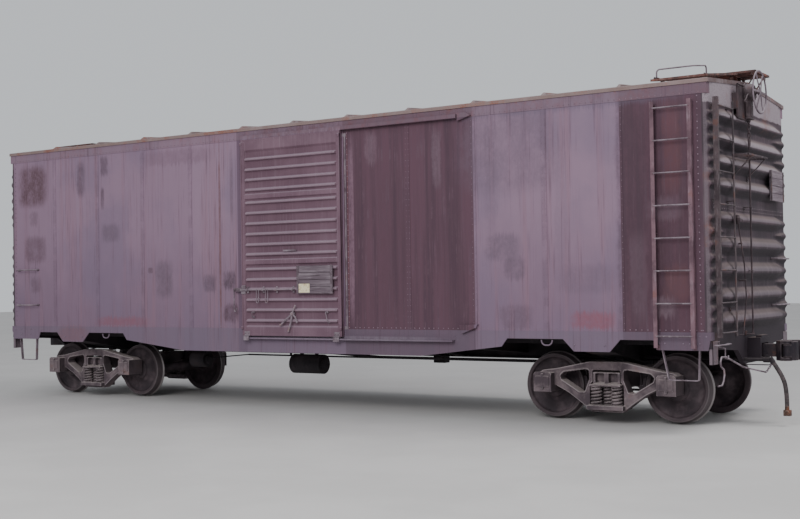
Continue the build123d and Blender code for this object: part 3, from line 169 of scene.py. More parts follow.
# Oxide-red alkyd enamel on rolled steel sheet, sprayed, then fifty years in the weather: chalked to
# a dull mauve-grey where the old coat is thin and still maroon on the newer panels. Threads are 20 mm
# apart and specks 7 mm, coarser than real ones, so that they show. In each list of layers the first
# colour lies at the bottom, and a layer is a colour, a strength and the steps that let it show.
sidePaint = {
    "noises": {
        "cloud": ((0.75, 3.0, 0.75), 5.0, 0.55), "wisp": ((9.0, 9.0, 0.30), 6.0, 0.6),
        "thread": ((48.0, 48.0, 1.2), 3.0, 0.55), "speck": (150.0, 2.0, 0.55),
        "blotch": ((7.0, 7.0, 5.0), 5.0, 0.65), "wave": ((2.6, 2.6, 1.7), 2.0, 0.55),
        "grain": ((34.0, 34.0, 16.0), 5.0, 0.7)},
    "bands": {  # low and high edge and softness, along the near side, and turned on the far side
        "near": (0.930, 3.034, 0.006), "far": (5.100, 6.300, 0.006), "post": (-1.046, -0.880, 0.004)},
    "blends": {
        "chalk": ("#7d6679", ("#91778b", 1.0, ("tall", 1.7, 3.6)), ("#75667c", 0.55, ("cloud", 0.58, 0.36)),
                  ("#8e6d7b", 0.55, ("wisp", 0.48, 0.70)), ("#7d6679", 0.22, ("tint",))),
        "maroon": ("#4d3643", ("#5f4350", 1.0, ("wisp", 0.34, 0.62)),
                   ("#6f5662", 0.60, ("thread", 0.50, 0.68), ("blotch", 0.44, 0.62))),
        "head": ("#5c4a58", ("#93808c", 1.0, ("newer",)), ("#93808c", 0.7, ("z", 1.240, 1.200))),
        "fascia": ("#7d6874", ("#80595f", 1.0, ("blotch", 0.44, 0.72)))},
    "sheets": (("maroon", 1.0, ("newer",)),),
    "over": (
        ("#54424f", 0.22, ("seam", 0.055, 0.030), ("blotch", 0.34, 0.60)),  # dirt held along the seams
        ("#6a5466", 1.0, ("post",)),  # the bare front post
        ("head", 1.0, ("rivets",), ("blotch", 0.30, 0.55, 0.45, 1.0)),
        ("fascia", 0.50, ("z", 3.978, 3.986)),  # the plate under the roof
        ("#6d6171", 1.0, ("z", 1.178, 1.184, 0.55, 0.0)),  # the sill
        ("#54424f", 0.60, ("thread", 0.50, 0.72), ("wisp", 0.42, 0.60)),  # runs
        ("#8f5d48", 1.0, ("blotch", 0.56, 0.70), ("z", 4.07, 4.14)),  # rust under the eave
        ("#6f4439", 0.7, ("speck", 0.66, 0.74), ("blotch", 0.50, 0.66))),  # rust in specks
    "edge": (0.30, 1.15),  # where a stain starts to fade and where it ends, in shares of its size
    "thin": 0.06,  # stains no wider than this keep straight edges
    "stains": (  # centre along the side and above the rail, half length, half height, strength, colour
        (-5.64, 3.53, 0.40, 0.38, 0.92, "#5a4049"), (-5.62, 2.98, 0.12, 0.14, 0.45, "#604b57"),
        (-5.58, 2.45, 0.30, 0.25, 0.72, "#5f4854"), (-5.58, 1.85, 0.14, 0.14, 0.55, "#5f4b58"),
        (-4.46, 3.58, 0.11, 0.32, 0.75, "#5a4856"), (-3.89, 3.77, 0.10, 0.18, 0.65, "#564350"),
        (-3.94, 3.24, 0.045, 0.19, 0.80, "#4e3c49"), (-3.75, 2.67, 0.22, 0.16, 0.55, "#5f4f5d"),
        (-2.57, 1.90, 0.20, 0.32, 0.62, "#5b4c59"), (-2.87, 2.05, 0.06, 0.05, 0.70, "#553f48"),
        (-2.27, 3.80, 0.80, 0.13, 0.40, "#6a5260"), (-1.62, 1.83, 0.14, 0.14, 0.68, "#564755"),
        (-1.22, 1.87, 0.15, 0.15, 0.88, "#503f4b"), (-1.19, 1.38, 0.16, 0.15, 0.85, "#523c47"),
        (-1.40, 2.50, 0.024, 1.60, 0.80, "#6d4a4a"), (-1.16, 3.30, 0.035, 0.60, 0.50, "#5f4b57"),
        (-3.52, 1.24, 0.64, 0.085, 0.62, "#87525f"), (-4.70, 1.03, 0.42, 0.14, 0.85, "#855458"),
        (0.998, 2.55, 0.011, 1.60, 0.80, "#7b4c50"), (1.055, 2.53, 0.050, 1.40, 0.75, "#886a7a"),
        # In the next row, the stain at 0.950 up is a painted shadow under the door track's lip
        (0.90, 1.024, 1.86, 0.040, 0.75, "#978993"), (1.35, 0.950, 0.36, 0.022, 0.60, "#573f47"),
        (0.10, 4.05, 1.10, 0.16, 0.90, "#573e4a"), (1.40, 3.66, 0.12, 0.25, 0.45, "#7b6572"),
        (2.48, 3.44, 0.08, 0.43, 0.42, "#786672"), (1.75, 2.30, 0.30, 1.20, 0.28, "#4b3641"),
        (2.70, 2.00, 0.20, 1.00, 0.26, "#4b3541"), (3.30, 3.10, 0.10, 0.80, 0.30, "#6a5a6a"),
        (3.55, 3.48, 0.80, 0.60, 0.60, "#6b5a6a"), (3.46, 2.23, 0.28, 0.20, 0.55, "#5b4e5c"),
        (3.62, 1.95, 0.18, 0.16, 0.52, "#574957"), (3.64, 1.32, 0.26, 0.18, 0.52, "#5d4a58"),
        (4.30, 2.70, 0.10, 0.90, 0.22, "#6a5a6b"), (4.62, 1.80, 0.44, 0.20, 0.40, "#665666"),
        (4.71, 1.29, 0.33, 0.12, 0.80, "#865261"), (5.40, 2.60, 0.34, 1.55, 0.40, "#48333e"),
        (5.26, 2.50, 0.24, 1.80, 0.32, "#3c2833"), (5.76, 2.35, 0.30, 1.40, 0.40, "#40262f"),
        (4.30, 4.05, 1.90, 0.16, 0.60, "#655a6c"), (5.76, 3.35, 0.13, 0.60, 0.42, "#6e4448"),
        (5.66, 2.62, 0.24, 0.16, 0.40, "#75616d"), (5.62, 1.45, 0.16, 0.14, 0.45, "#836f7a"),
        (5.80, 1.72, 0.18, 0.26, 0.30, "#7a4f50"), (5.32, 1.80, 0.12, 0.60, 0.35, "#725c68")),
    "patchy": (("blotch", 0.30, 0.58, 0.45, 1.0), ("grain", 0.32, 0.60, 0.62, 1.0)),  # breaks stains up
    "warp": (0.16, 0.22),  # how far the noises push a stain's edge along and up
    "swell": 1.1,  # how far they push the height at which the upper tone starts
    "draws": (17.0, 5.3),  # keep the tints of the two sides and of a side's two halves apart
    "rough": ("wisp", 0.3, 0.7, 0.60, 0.80),
    "relief": (7.0, 0.5, 0.0008),  # sags between the posts and grit, over the threads' height, in all
    "gloss": 0.35,
}


def makeSidePaint():
    # The distance along the side, u, is x turned with the side that it is on. It is counted in bays
    # from the first seam: a bay's whole number draws its tint, and the rest gives the nearest seam.
    look = sidePaint
    add, field = startMaterial("weatheredEnamelSide", look["noises"])
    x, y, z = add("split", field["place"])
    flank = add("sign", y)
    u = add("times", x, flank, -1.0)
    past = add("timesPlus", add("size", u), 1 / panelPitch, -doorBay / panelPitch)
    share = add("part", past)
    bySide, byHalf = look["draws"]
    bay = add("timesPlus", flank, bySide, add("whole", past))
    bay = add("timesPlus", add("sign", u), byHalf, bay)
    field.update({
        "z": z, "tint": add("chance", bay), "rivets": add("mark", attribute_name="head"),
        "tall": add("timesPlus", field["wave"], look["swell"], z),
        "seam": add("times", add("least", share, add("minus", 1.0, share)), panelPitch)})
    for name, (low, high, soft) in look["bands"].items():
        rise = add("smooth", u, low - soft, low + soft)
        field[name] = add("times", rise, add("smooth", u, high - soft, high + soft, 1.0, 0.0))
    field["newer"] = add("most", field["near"], field["far"])
    for name, layers in look["blends"].items():
        field[name] = layered(add, field, *layers)
    colour = layered(add, field, field["chalk"], *look["sheets"])
    # A stain's share falls with the distance from its centre in shares of its half length and height
    byBlotch, byThread = look["warp"]
    along = add("plus", u, add("timesPlus", field["blotch"], byBlotch, -byBlotch / 2))
    level = add("plus", z, add("timesPlus", field["thread"], byThread, -byThread / 2))
    spot, straight = add("join", along, level), add("join", u, z)
    patchy = through(add, field, look["patchy"])
    for centre, height, halfLength, halfHeight, strength, tone in look["stains"]:
        size = (1 / halfLength, 1 / halfHeight, 0.0)
        middle = (-centre / halfLength, -(height + railTop) / halfHeight, 0.0)
        spread = add("fit", spot if min(halfLength, halfHeight) > look["thin"] else straight, size, middle)
        reach = add("length", add("stretch", spread, spread))
        share = add("times", add("smooth", reach, *look["edge"], strength, 0.0), patchy)
        colour = add("mix", share, colour, tone)
    colour = layered(add, field, colour, *look["over"])
    rough = through(add, field, [look["rough"]])
    sag, grit, depth = look["relief"]
    relief = add("timesPlus", field["wave"], sag, field["thread"])
    relief = add("timesPlus", field["speck"], grit, relief)
    finishMaterial(add, colour, rough, relief, depth, 0.0, look["gloss"])


# Weathered coats. Columns: base, darker and paler tone, dust (which also stands for painted light on upward
# faces) and rust; cycles per metre of the clouds, the runs and the grit (4 to 14 mm apart, coarser than real
# grit, so that it shows); shares of the runs and the dust; where in the clouds rust starts and its share;
# roughness, depth of the grit in metres and how metallic the coat is
coats = {
    # The same enamel on the pressed door sheets: newer, maroon, worn pale along the crests, where a painted
    # highlight also lies, with painted shade in the sunk pans
    "weatheredEnamelDoor": (
        "#785c6a", "#664b59", "#87717d", "#a795a2", "#8a5240",
        (1.2, 3.0, 1.2), (34.0, 9.0, 1.0), 120.0, 0.55, 0.75, 0.66, 0.5, 0.68, 0.0006, 0.0),
    # Forged and rolled steel that hands and feet keep bare: grey, with brown in its hollows
    "handWornSteel": (
        "#8b7d86", "#5f5058", "#a89ca4", "#b3a8ae", "#7d5142",
        4.0, (24.0, 24.0, 9.0), 180.0, 0.6, 0.6, 0.60, 0.7, 0.58, 0.0004, 0.15),
    # Enamel on the pressed ends, browned with soot and brake dust
    "sootedEnamelEnd": (
        "#55444d", "#3f333b", "#75656d", "#85756f", "#7a4632",
        (1.5, 1.1, 1.1), (6.0, 26.0, 0.9), 90.0, 0.50, 0.75, 0.60, 0.55, 0.70, 0.0008, 0.0),
    # Flat and round bar, painted with the car and handled: paint worn through at the edges
    "wornEnamelBar": (
        "#7c5f69", "#5b434d", "#98848e", "#9b8d94", "#7f4c3a",
        3.0, (20.0, 20.0, 4.0), 160.0, 0.5, 0.5, 0.60, 0.7, 0.66, 0.0005, 0.0),
    # Forged and bent iron without paint, brown-black with a greasy grey bloom
    "forgedIron": (
        "#57494d", "#3a2f34", "#7d7377", "#8b8084", "#75442f",
        4.0, (30.0, 30.0, 8.0), 170.0, 0.5, 0.6, 0.58, 0.6, 0.66, 0.0005, 0.2),
    # Hot-dip galvanised sheet of the roof, its zinc long gone dull and rusting along the edges
    "galvanisedRoof": (
        "#7b6b6f", "#64504f", "#988c92", "#8f8587", "#8a4a30",
        1.3, (2.0, 14.0, 2.0), 90.0, 0.6, 0.45, 0.52, 0.85, 0.70, 0.0006, 0.1),
    # Bare rolled steel of the roof walk, orange-brown with rust all over
    "rustedGrating": (
        "#74504a", "#4b3a39", "#8f726b", "#9a8079", "#9c5a40",
        5.0, 14.0, 240.0, 0.6, 0.5, 0.58, 0.7, 0.88, 0.0010, 0.0),
    # Black car cement on the underframe, under road dirt
    "underframeCement": (
        "#332d31", "#221e22", "#4c4346", "#5a5052", "#51362c",
        1.5, (7.0, 7.0, 3.0), 70.0, 0.4, 0.5, 0.60, 0.6, 0.82, 0.0012, 0.0),
    # Sand-cast steel of the trucks, brown-grey with dust and a painted top light on every ledge
    "castSteelTruck": (
        "#76686c", "#4b4046", "#958787", "#b5a9a6", "#7a5140",
        3.0, (9.0, 9.0, 5.0), 110.0, 0.5, 0.85, 0.60, 0.5, 0.80, 0.0016, 0.0),
    # Wound spring steel, scaly brown with pale dust on each turn
    "springSteel": (
        "#786b6f", "#483e43", "#978a89", "#ada19f", "#6d4636",
        6.0, 20.0, 160.0, 0.6, 0.9, 0.62, 0.5, 0.72, 0.0008, 0.0),
    # Cast steel of the coupler and its knuckle, rubbed dark and greasy
    "couplerSteel": (
        "#3b3236", "#28222a", "#5d5053", "#6c6062", "#6d422f",
        5.0, (12.0, 12.0, 6.0), 100.0, 0.4, 0.6, 0.55, 0.7, 0.70, 0.0014, 0.15),
    # Malleable iron of the hose couplings, red-brown rust worn grey on the faces
    "malleableIron": (
        "#6a4d40", "#47352f", "#877771", "#8a7a72", "#8a4d33",
        14.0, 30.0, 260.0, 0.5, 0.5, 0.52, 0.7, 0.78, 0.0007, 0.2),
}
pressed = {  # tone and share of what stands proud, and of the hollows, where the mark "rise" is 1 and 0: the proud tone is wear and dust with a painted highlight, and the hollow tone a painted shade, except on the roof, where they are its caps' and eave's rust and its flat sheet's tone
    "weatheredEnamelDoor": ("#94808c", 0.70, "#5f4552", 0.40),
    "sootedEnamelEnd": ("#a4979f", 0.88, "#2a222a", 0.85),
    "galvanisedRoof": ("#9c8580", 0.6, "#6d5f62", 0.1),
    "castSteelTruck": ("#a3979a", 0.75, "#2f272d", 0.75),
    "couplerSteel": ("#7a6d70", 0.6, "#1e191e", 0.6),
    "malleableIron": ("#94857d", 0.6, "#35281f", 0.5),
}
greasedAndShaded = {"castSteelTruck": ("#3d3438", 0.75)}  # painted shade, with some oil and soot, on the faces that look along the car
coatNoises = {"cloud": (5.0, 0.6), "runs": (5.0, 0.6), "grit": (3.0, 0.6)}  # detail and roughness
coatSteps = {  # where each tone starts to show and shows in full, and how the grit breaks it up
    "base": ("cloud", 0.38, 0.62), "pale": ("runs", 0.50, 0.72), "hollow": ("rise", 0.35, 0.0, 0.0),
    "crest": ("rise", 0.55, 1.0), "crestGrit": ("grit", 0.25, 0.60, 0.4, 1.0),
    "dust": ("up", 0.15, 0.95), "dustGrit": ("grit", 0.25, 0.65, 0.55, 1.0),
    "rustGrit": ("grit", 0.35, 0.6), "greaseAndShade": ("ahead", 0.55, 0.95, 0.0),
}
rustSoft, roughSpread, coatGloss = 0.10, 0.08, 0.35


def makeCoat(name):
    # Clouds blend the dark into the base and runs the pale over it. Dust, which is also a painted light on
    # upward faces, takes the share of a face's upward slope, and rust the clouds' peaks, each broken up by
    # the grit.
    (base, dark, pale, dust, rust, clouds, streaks, gritty, runShare, dustAndTopLightShare, rustStart, rustShare,
     roughness, depth, metallic) = coats[name]
    stretches = {"cloud": clouds, "runs": streaks, "grit": gritty}
    noises = {key: (stretches[key], *texture) for key, texture in coatNoises.items()}
    add, field = startMaterial(name, noises, ("rise",) if name in pressed else ())
    across, _, field["up"] = add("split", add("normal"))
    steps = coatSteps
    layers = [(base, 1.0, steps["base"]), (pale, runShare, steps["pale"])]
    if name in pressed:
        crest, crestShare, hollow, hollowShare = pressed[name]
        layers += [(hollow, 1.0, (*steps["hollow"], hollowShare)),
                   (crest, crestShare, steps["crest"], steps["crestGrit"])]
    layers += [(dust, dustAndTopLightShare, steps["dust"], steps["dustGrit"]),
               (rust, rustShare, ("cloud", rustStart, rustStart + rustSoft), steps["rustGrit"])]
    # Painted shade, with some oil and soot, on the faces that look along the car
    if name in greasedAndShaded:
        field["ahead"] = add("size", across)
        greaseAndShade, greaseAndShadeShare = greasedAndShaded[name]
        layers.append((greaseAndShade, 1.0, (*steps["greaseAndShade"], greaseAndShadeShare)))
    rough = add("smooth", field["grit"], 0.3, 0.7, roughness - roughSpread, roughness + roughSpread)
    finishMaterial(add, layered(add, field, dark, *layers), rough, field["grit"], depth, metallic, coatGloss)


# Plainer materials: noises, layers, roughness as a step of a noise, the noise that stands out and
# how far, and what makes it metallic
plainMaterials = {
    # Sawn oak boards, unpainted and silvered, for the tack boards and the floor
    "silveredOak": (
        {"grain": ((3.2, 3.2, 60.0), 5.0, 0.65), "wave": ((1.1, 1.1, 9.0), 4.0, 0.55)},
        ("#655760", ("#7d7078", 1.0, ("wave", 0.38, 0.62)), ("#94878f", 0.7, ("grain", 0.50, 0.66)),
         ("#362c31", 1.0, ("grain", 0.40, 0.33, 0.0, 0.9))),
        ("grain", 0.3, 0.7, 0.92, 0.78), "grain", 0.0020),
    # Cream card stock of the blank routing card, foxed a little
    "agedCardStock": (
        {"stain": (30.0, 4.0, 0.55)}, ("#e9dfbf", ("#c9b48c", 1.0, ("stain", 0.45, 0.70))),
        ("stain", 0.3, 0.7, 0.75, 0.9), "stain", 0.0003),
    # Cloth-wrapped rubber of the air hoses: the wrap shows as fine rings, dusty brown-black
    "wrappedRubber": (
        {"dust": (22.0, 5.0, 0.6), "wrap": ((20.0, 20.0, 190.0), 2.0, 0.55)},
        ("#2b2527", ("#54484a", 1.0, ("dust", 0.40, 0.66)), ("#6b5f60", 0.35, ("wrap", 0.48, 0.60))),
        ("dust", 0.3, 0.7, 0.62, 0.80), "wrap", 0.0012),
    # Rolled steel wheels: brown rust on the plate, dusty near the hub, and a rolled tread rubbed
    # bright. The mark "reach" is the distance from the axle in metres, "worn" how bright the steel is.
    "rolledWheelSteel": (
        {"cloud": (5.0, 5.0, 0.6), "grit": (130.0, 3.0, 0.55)},
        ("#342b30", ("#4a3e43", 1.0, ("cloud", 0.36, 0.64)), ("#64565a", 0.6, ("cloud", 0.50, 0.72)),
         ("#4c4044", 0.6, ("reach", 0.355, 0.368)),
         ("#a39c9c", 1.0, ("worn",), ("grit", 0.2, 0.5, 0.75, 1.0))),
        ("worn", 0.0, 1.0, 0.78, 0.36), "grit", 0.0008, ("worn",), ("grit", 0.2, 0.5, 0.75, 1.0)),
    # Smooth pale concrete of the studio floor
    "smoothConcrete": (
        {"cloud": (0.5, 6.0, 0.6)}, ("#c3c0be", ("#c9c6c4", 1.0, ("cloud", 0.40, 0.62))),
        ("cloud", 0.3, 0.7, 0.85, 0.95), "cloud", 0.001),
}
metalShare = 0.9  # how metallic bare bright steel is


def makePlain(name):
    # Layers on a first colour, and a roughness that follows one smooth step
    noises, layers, (source, *limits), relief, depth, *metal = plainMaterials[name]
    add, field = startMaterial(name, noises, ("reach", "worn") if metal else ())
    metallic = through(add, field, metal, metalShare) if metal else 0.0
    rough = add("smooth", field[source], *limits)
    finishMaterial(add, layered(add, field, *layers), rough, field[relief], depth, metallic)


makeSidePaint()
for name in coats:
    makeCoat(name)
for name in plainMaterials:
    makePlain(name)
print("paints, metals and studio floor's concrete made,", len(bpy.data.materials))


# Shapes, each a pair: points of shape (n, 3) and a list of face arrays

def smooth(value, low, high):
    # 0 below low and 1 above high, with a cubic between them
    share = np.clip((value - low) / (high - low), 0, 1)
    return share * share * (3 - 2 * share)


def gridFaces(rows, columns, wrapRows=False, wrapColumns=False):
    # Quads between the neighbouring points of a grid, row by row
    r = np.arange(rows if wrapRows else rows - 1)[:, None]
    c = np.arange(columns if wrapColumns else columns - 1)[None, :]
    r2, c2 = (r + 1) % rows, (c + 1) % columns
    corners = [r * columns + c, r * columns + c2, r2 * columns + c2, r2 * columns + c]
    return np.stack(np.broadcast_arrays(*corners), -1).reshape(-1, 4)


def endCaps(rows, count):
    # One face over the first ring of points and one over the last
    return [np.arange(count)[None, ::-1], (np.arange(count) + (rows - 1) * count)[None]]


def slabOf(front, back):
    # Two grids of one size, joined round their four edges into a closed slab
    rows, columns = front.shape[:2]
    faces = gridFaces(rows, columns)
    index = np.arange(rows * columns).reshape(rows, columns)
    edge = np.concatenate([index[0, :-1], index[:-1, -1], index[-1, :0:-1], index[:0:-1, 0]])
    step = np.roll(edge, -1)
    shift = rows * columns
    rim = np.stack([edge, edge + shift, step + shift, step], 1)
    points = np.concatenate([front.reshape(-1, 3), back.reshape(-1, 3)])
    return points, [faces, faces[:, ::-1] + shift, rim]


def unit(vectors):
    # Each vector over its own length
    return vectors / np.linalg.norm(vectors, axis=-1, keepdims=True)


def carried(profile, path, normal, loop=False):
    # A closed profile carried along a path: its first coordinate lies across the path and square to
    # the normal, its second along the normal, and corners are mitred
    path, profile = np.asarray(path, float), np.asarray(profile, float)
    step = unit(np.roll(path, -1, 0) - path if loop else np.diff(path, axis=0))
    before = np.roll(step, 1, 0) if loop else np.concatenate([step[:1], step])
    after = step if loop else np.concatenate([step, step[-1:]])
    tangent = unit(before + after)
    mitre = 1 / np.maximum((tangent * after).sum(1), 0.4)
    side = unit(np.cross(tangent, np.asarray(normal, float)))
    rise = np.cross(side, tangent)
    points = (path[:, None] + profile[None, :, :1] * (side * mitre[:, None])[:, None]
              + profile[None, :, 1:] * rise[:, None])
    faces = [gridFaces(len(path), len(profile), loop, True)]
    return points.reshape(-1, 3), faces if loop else faces + endCaps(len(path), len(profile))


def circle(count, start=0.0):
    # Cosines and sines of equal steps round a full turn
    angle = start + np.arange(count) * 2 * np.pi / count
    return np.cos(angle), np.sin(angle)


def ring(radius, count=10, squash=1.0):
    # Points of a circle, or of an ellipse when squashed
    across, up = circle(count)
    return np.stack([radius * across, radius * squash * up], 1)


def flatBar(width, thickness, edge=0.0015):
    # Section of a flat bar with its corners taken off
    a, b = width / 2, thickness / 2
    return np.array([(a - edge, -b), (a, edge - b), (a, b - edge), (a - edge, b),
                     (edge - a, b), (-a, b - edge), (-a, edge - b), (edge - a, -b)])


def bent(points, radius, steps=5):
    # The path through the points with each corner rounded to an arc of the radius
    points = np.asarray(points, float)
    path = [points[:1]]
    for before, here, after in zip(points, points[1:], points[2:]):
        a, b = unit(before - here), unit(after - here)
        half = math.acos(np.clip(a @ b, -1, 1)) / 2
        reach = radius / math.tan(half)
        centre = here + unit(a + b) * radius / math.sin(half)
        start, end = here + a * reach - centre, here + b * reach - centre
        share = np.linspace(0, 1, steps + 1)[:, None]
        sweep = math.pi - 2 * half
        arc = (np.sin((1 - share) * sweep) * start + np.sin(share * sweep) * end) / math.sin(sweep)
        path.append(centre + arc)
    return np.concatenate(path + [points[-1:]])


def roundBar(points, radius, normal, bend=0.02, count=10, steps=5):
    # A ring carried along the path through the points, bent at each
    path = bent(points, bend, steps) if len(points) > 2 else points
    return carried(ring(radius, count), path, normal)


def strap(points, width, thickness, normal, edge=0.0015):
    # A flat bar's section carried along the points, its thickness along the normal
    return carried(flatBar(width, thickness, edge), points, normal)


def turnedShape(profile, centre, axis, count=40):
    # A profile of (place along the axis, distance from it) pairs, turned about the axis, with a flat
    # face at each end
    place, reach = np.asarray(profile, float).T
    across, up = circle(count)
    points = np.zeros((len(place), count, 3))
    points[..., axis] = place[:, None]
    points[..., (axis + 1) % 3] = reach[:, None] * across
    points[..., (axis + 2) % 3] = reach[:, None] * up
    faces = [gridFaces(len(place), count, False, True)] + endCaps(len(place), count)
    return (points + np.asarray(centre, float)).reshape(-1, 3), faces


def softBlock(low, high, edge=0.002):
    # Box with its edges taken off: an eight-cornered outline at four levels
    low, high = np.minimum(low, high).astype(float), np.maximum(low, high).astype(float)
    (ax, ay, az), (bx, by, bz) = low, high
    e = min(edge, (high - low).min() / 3)
    levels = []
    for inset, z in ((e * 0.9, az), (0, az + e), (0, bz - e), (e * 0.9, bz)):
        x0, x1, y0, y1 = ax + inset, bx - inset, ay + inset, by - inset
        levels += [(x0 + e, y0, z), (x1 - e, y0, z), (x1, y0 + e, z), (x1, y1 - e, z),
                   (x1 - e, y1, z), (x0 + e, y1, z), (x0, y1 - e, z), (x0, y0 + e, z)]
    return np.array(levels), [gridFaces(4, 8, False, True)] + endCaps(4, 8)


def block(x0, x1, y0, y1, z0, z1, edge=0.002):
    # A soft block by its limits along each axis
    return softBlock((x0, y0, z0), (x1, y1, z1), edge)


def headRow(points, normal, radius=0.010, height=0.006, sides=8):
    # Rivet heads at the points: each is two rings and a top point over a flat face, along the normal
    points, normal = np.asarray(points, float).reshape(-1, 3), unit(np.asarray(normal, float))
    aside = unit(np.cross(normal, (0.0, 0.0, 1.0) if abs(normal[2]) < 0.9 else (1.0, 0.0, 0.0)))
    across, up = circle(sides)
    around = across[:, None] * aside + up[:, None] * np.cross(normal, aside)
    head = np.concatenate([around * radius - normal * 0.001, around * radius * 0.72 + normal * height * 0.7,
                           normal[None] * height])
    start = np.arange(len(points))[:, None, None] * len(head)
    side = np.arange(sides)
    after = (side + 1) % sides
    walls = np.stack([side, after, after + sides, side + sides], 1)
    cap = np.stack([side + sides, after + sides, np.full(sides, 2 * sides)], 1)
    faces = [(walls[None] + start).reshape(-1, 4), (cap[None] + start).reshape(-1, 3),
             (side[None, None, ::-1] + start).reshape(-1, sides)]
    return (points[:, None] + head[None]).reshape(-1, 3), faces


def boltRow(points, normal, across=0.022, height=0.014):
    # Hexagon nuts or bolt heads, measured over their corners less a little
    return headRow(points, normal, across / 2 * 1.15, height, 6)


def spaced(start, end, pitch):
    # Points from start to end, a whole number of steps near the pitch apart
    start, end = np.asarray(start, float), np.asarray(end, float)
    count = max(int(round(np.linalg.norm(end - start) / pitch)), 1)
    return start + (end - start) * np.linspace(0, 1, count + 1)[:, None]


def built(rows, move=(0.0, 0.0, 0.0)):
    # The shapes that a table's rows give, each a maker and its values, and all moved by one way
    shapes = [maker(*values) for maker, *values in rows]
    return [(points + np.asarray(move, float), faces) for points, faces in shapes]


def turnedAbout(shapes):
    # The same shapes half a turn round the upright through the car's middle
    return [(points * (-1, -1, 1), faces) for points, faces in shapes]


def bothWays(shapes):
    # The shapes and the same half a turn on, because the car is the same from both ends
    return list(shapes) + turnedAbout(shapes)


def mirroredAcross(shapes):
    # The same shapes on the other side of the centre line, with their faces turned to point outward
    return [(points * (1, -1, 1), [f[:, ::-1] for f in faces]) for points, faces in shapes]


def onWall(axis, along, out, z):
    # A point at a side (axis 1) or an end (axis 0): its place along the wall, its distance out from
    # the car's middle, and its height
    return (along, -out, z) if axis else (out, along, z)


def outOf(axis):
    # The way that a side or an end faces
    return onWall(axis, 0.0, 1.0, 0.0)


def outward(mesh):
    # Turns every closed shell's faces outward
    shell = bmesh.new()
    shell.from_mesh(mesh)
    bmesh.ops.recalc_face_normals(shell, faces=shell.faces)
    shell.to_mesh(mesh)
    shell.free()


def placePiece(name, body, finish, mesh, stands=(), crease=32.0):
    # Shades the mesh smooth up to the crease angle, and lets it ride its body in place of CAD nodes
    mesh.shade_smooth()
    mesh.set_sharp_from_angle(angle=math.radians(crease))
    mesh.materials.clear()
    mesh.materials.append(bpy.data.materials[finish])
    piece = linkObject(name, mesh)
    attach(piece, body)
    if stands:
        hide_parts(*stands)


def addPiece(name, body, finish, shapes, stands=(), crease=32.0, marks=None):
    # Joins the shapes into one mesh that rides a body; marks are named values, one for each point
    points, loops, sizes, start = [], [], [], 0
    for shapePoints, faces in shapes:
        for rows in faces:
            loops.append((rows + start).ravel())
            sizes.append(np.full(len(rows), rows.shape[1]))
        points.append(shapePoints)
        start += len(shapePoints)
    points, loops, sizes = np.concatenate(points), np.concatenate(loops), np.concatenate(sizes)
    mesh = bpy.data.meshes.new(name)
    mesh.vertices.add(len(points))
    mesh.vertices.foreach_set("co", points.astype(np.float32).ravel())
    mesh.loops.add(len(loops))
    mesh.loops.foreach_set("vertex_index", loops.astype(np.int32))
    mesh.polygons.add(len(sizes))
    mesh.polygons.foreach_set("loop_start", (np.cumsum(sizes) - sizes).astype(np.int32))
    mesh.update(calc_edges=True)
    for mark, values in (marks or {}).items():
        mesh.attributes.new(mark, "FLOAT", "POINT").data.foreach_set("value", np.asarray(values, np.float32))
    outward(mesh)
    placePiece(name, body, finish, mesh, stands, crease)


def evenMark(shapes, value):
    # The same value for every point of the shapes
    return np.concatenate([np.full(len(points), value) for points, _ in shapes])


def edgeWearAndShade(mesh, gain=5.0, rounds=2):
    # Each point's height over the mean of its neighbours, along its normal and over the mean length of its
    # edges, averaged a few times: near 1 on outer corners, 0.5 on flats and 0 in inner corners. Outer corners
    # take a worn tone with a painted highlight, and inner corners a painted shade.
    count, edges = len(mesh.vertices), len(mesh.edges)
    place, normal = np.empty(count * 3), np.empty(count * 3)
    pair = np.empty(edges * 2, int)
    mesh.vertices.foreach_get("co", place)
    mesh.vertices.foreach_get("normal", normal)
    mesh.edges.foreach_get("vertices", pair)
    place, normal, pair = place.reshape(-1, 3), normal.reshape(-1, 3), pair.reshape(-1, 2)
    here, there = np.concatenate([pair, pair[:, ::-1]]).T
    step = place[there] - place[here]
    lift = np.bincount(here, -(step * normal[here]).sum(1), count)
    lift /= np.maximum(np.bincount(here, np.linalg.norm(step, axis=1), count), 1e-9)
    shares = np.maximum(np.bincount(here, minlength=count), 1)
    for _ in range(rounds):
        lift = (lift + np.bincount(here, lift[there], count) / shares) / 2
    return np.clip(0.5 + gain * lift, 0, 1).astype(np.float32)


def castPiece(node, body, finish, voxel, rounds, share):
    # A casting: a merged copy of the CAD node, remeshed in small voxels and smoothed so that its edges
    # and inner corners are rounded as a sand mould leaves them
    mesh = nodes[node].data.copy()
    shell = bmesh.new()
    shell.from_mesh(mesh)
    bmesh.ops.remove_doubles(shell, verts=shell.verts, dist=0.00002)
    shell.to_mesh(mesh)
    shell.free()
    rough = linkObject("rough", mesh)
    remesh = rough.modifiers.new("voxels", "REMESH")
    remesh.mode, remesh.voxel_size = "VOXEL", voxel
    fettled = rough.modifiers.new("fettled", "SMOOTH")
    fettled.factor, fettled.iterations = 0.5, rounds
    rough.modifiers.new("fewer", "DECIMATE").ratio = share
    bpy.context.view_layer.update()
    result = bpy.data.meshes.new_from_object(rough.evaluated_get(bpy.context.evaluated_depsgraph_get()))
    bpy.data.objects.remove(rough)
    # The mark gives outer edges wear and a painted highlight, and inner corners a painted shade
    result.attributes.new("rise", "FLOAT", "POINT").data.foreach_set("value", edgeWearAndShade(result))
    placePiece("cast_" + node, body, finish, result, (node,), 60.0)

near = (0, -1, 0)  # out of the near side

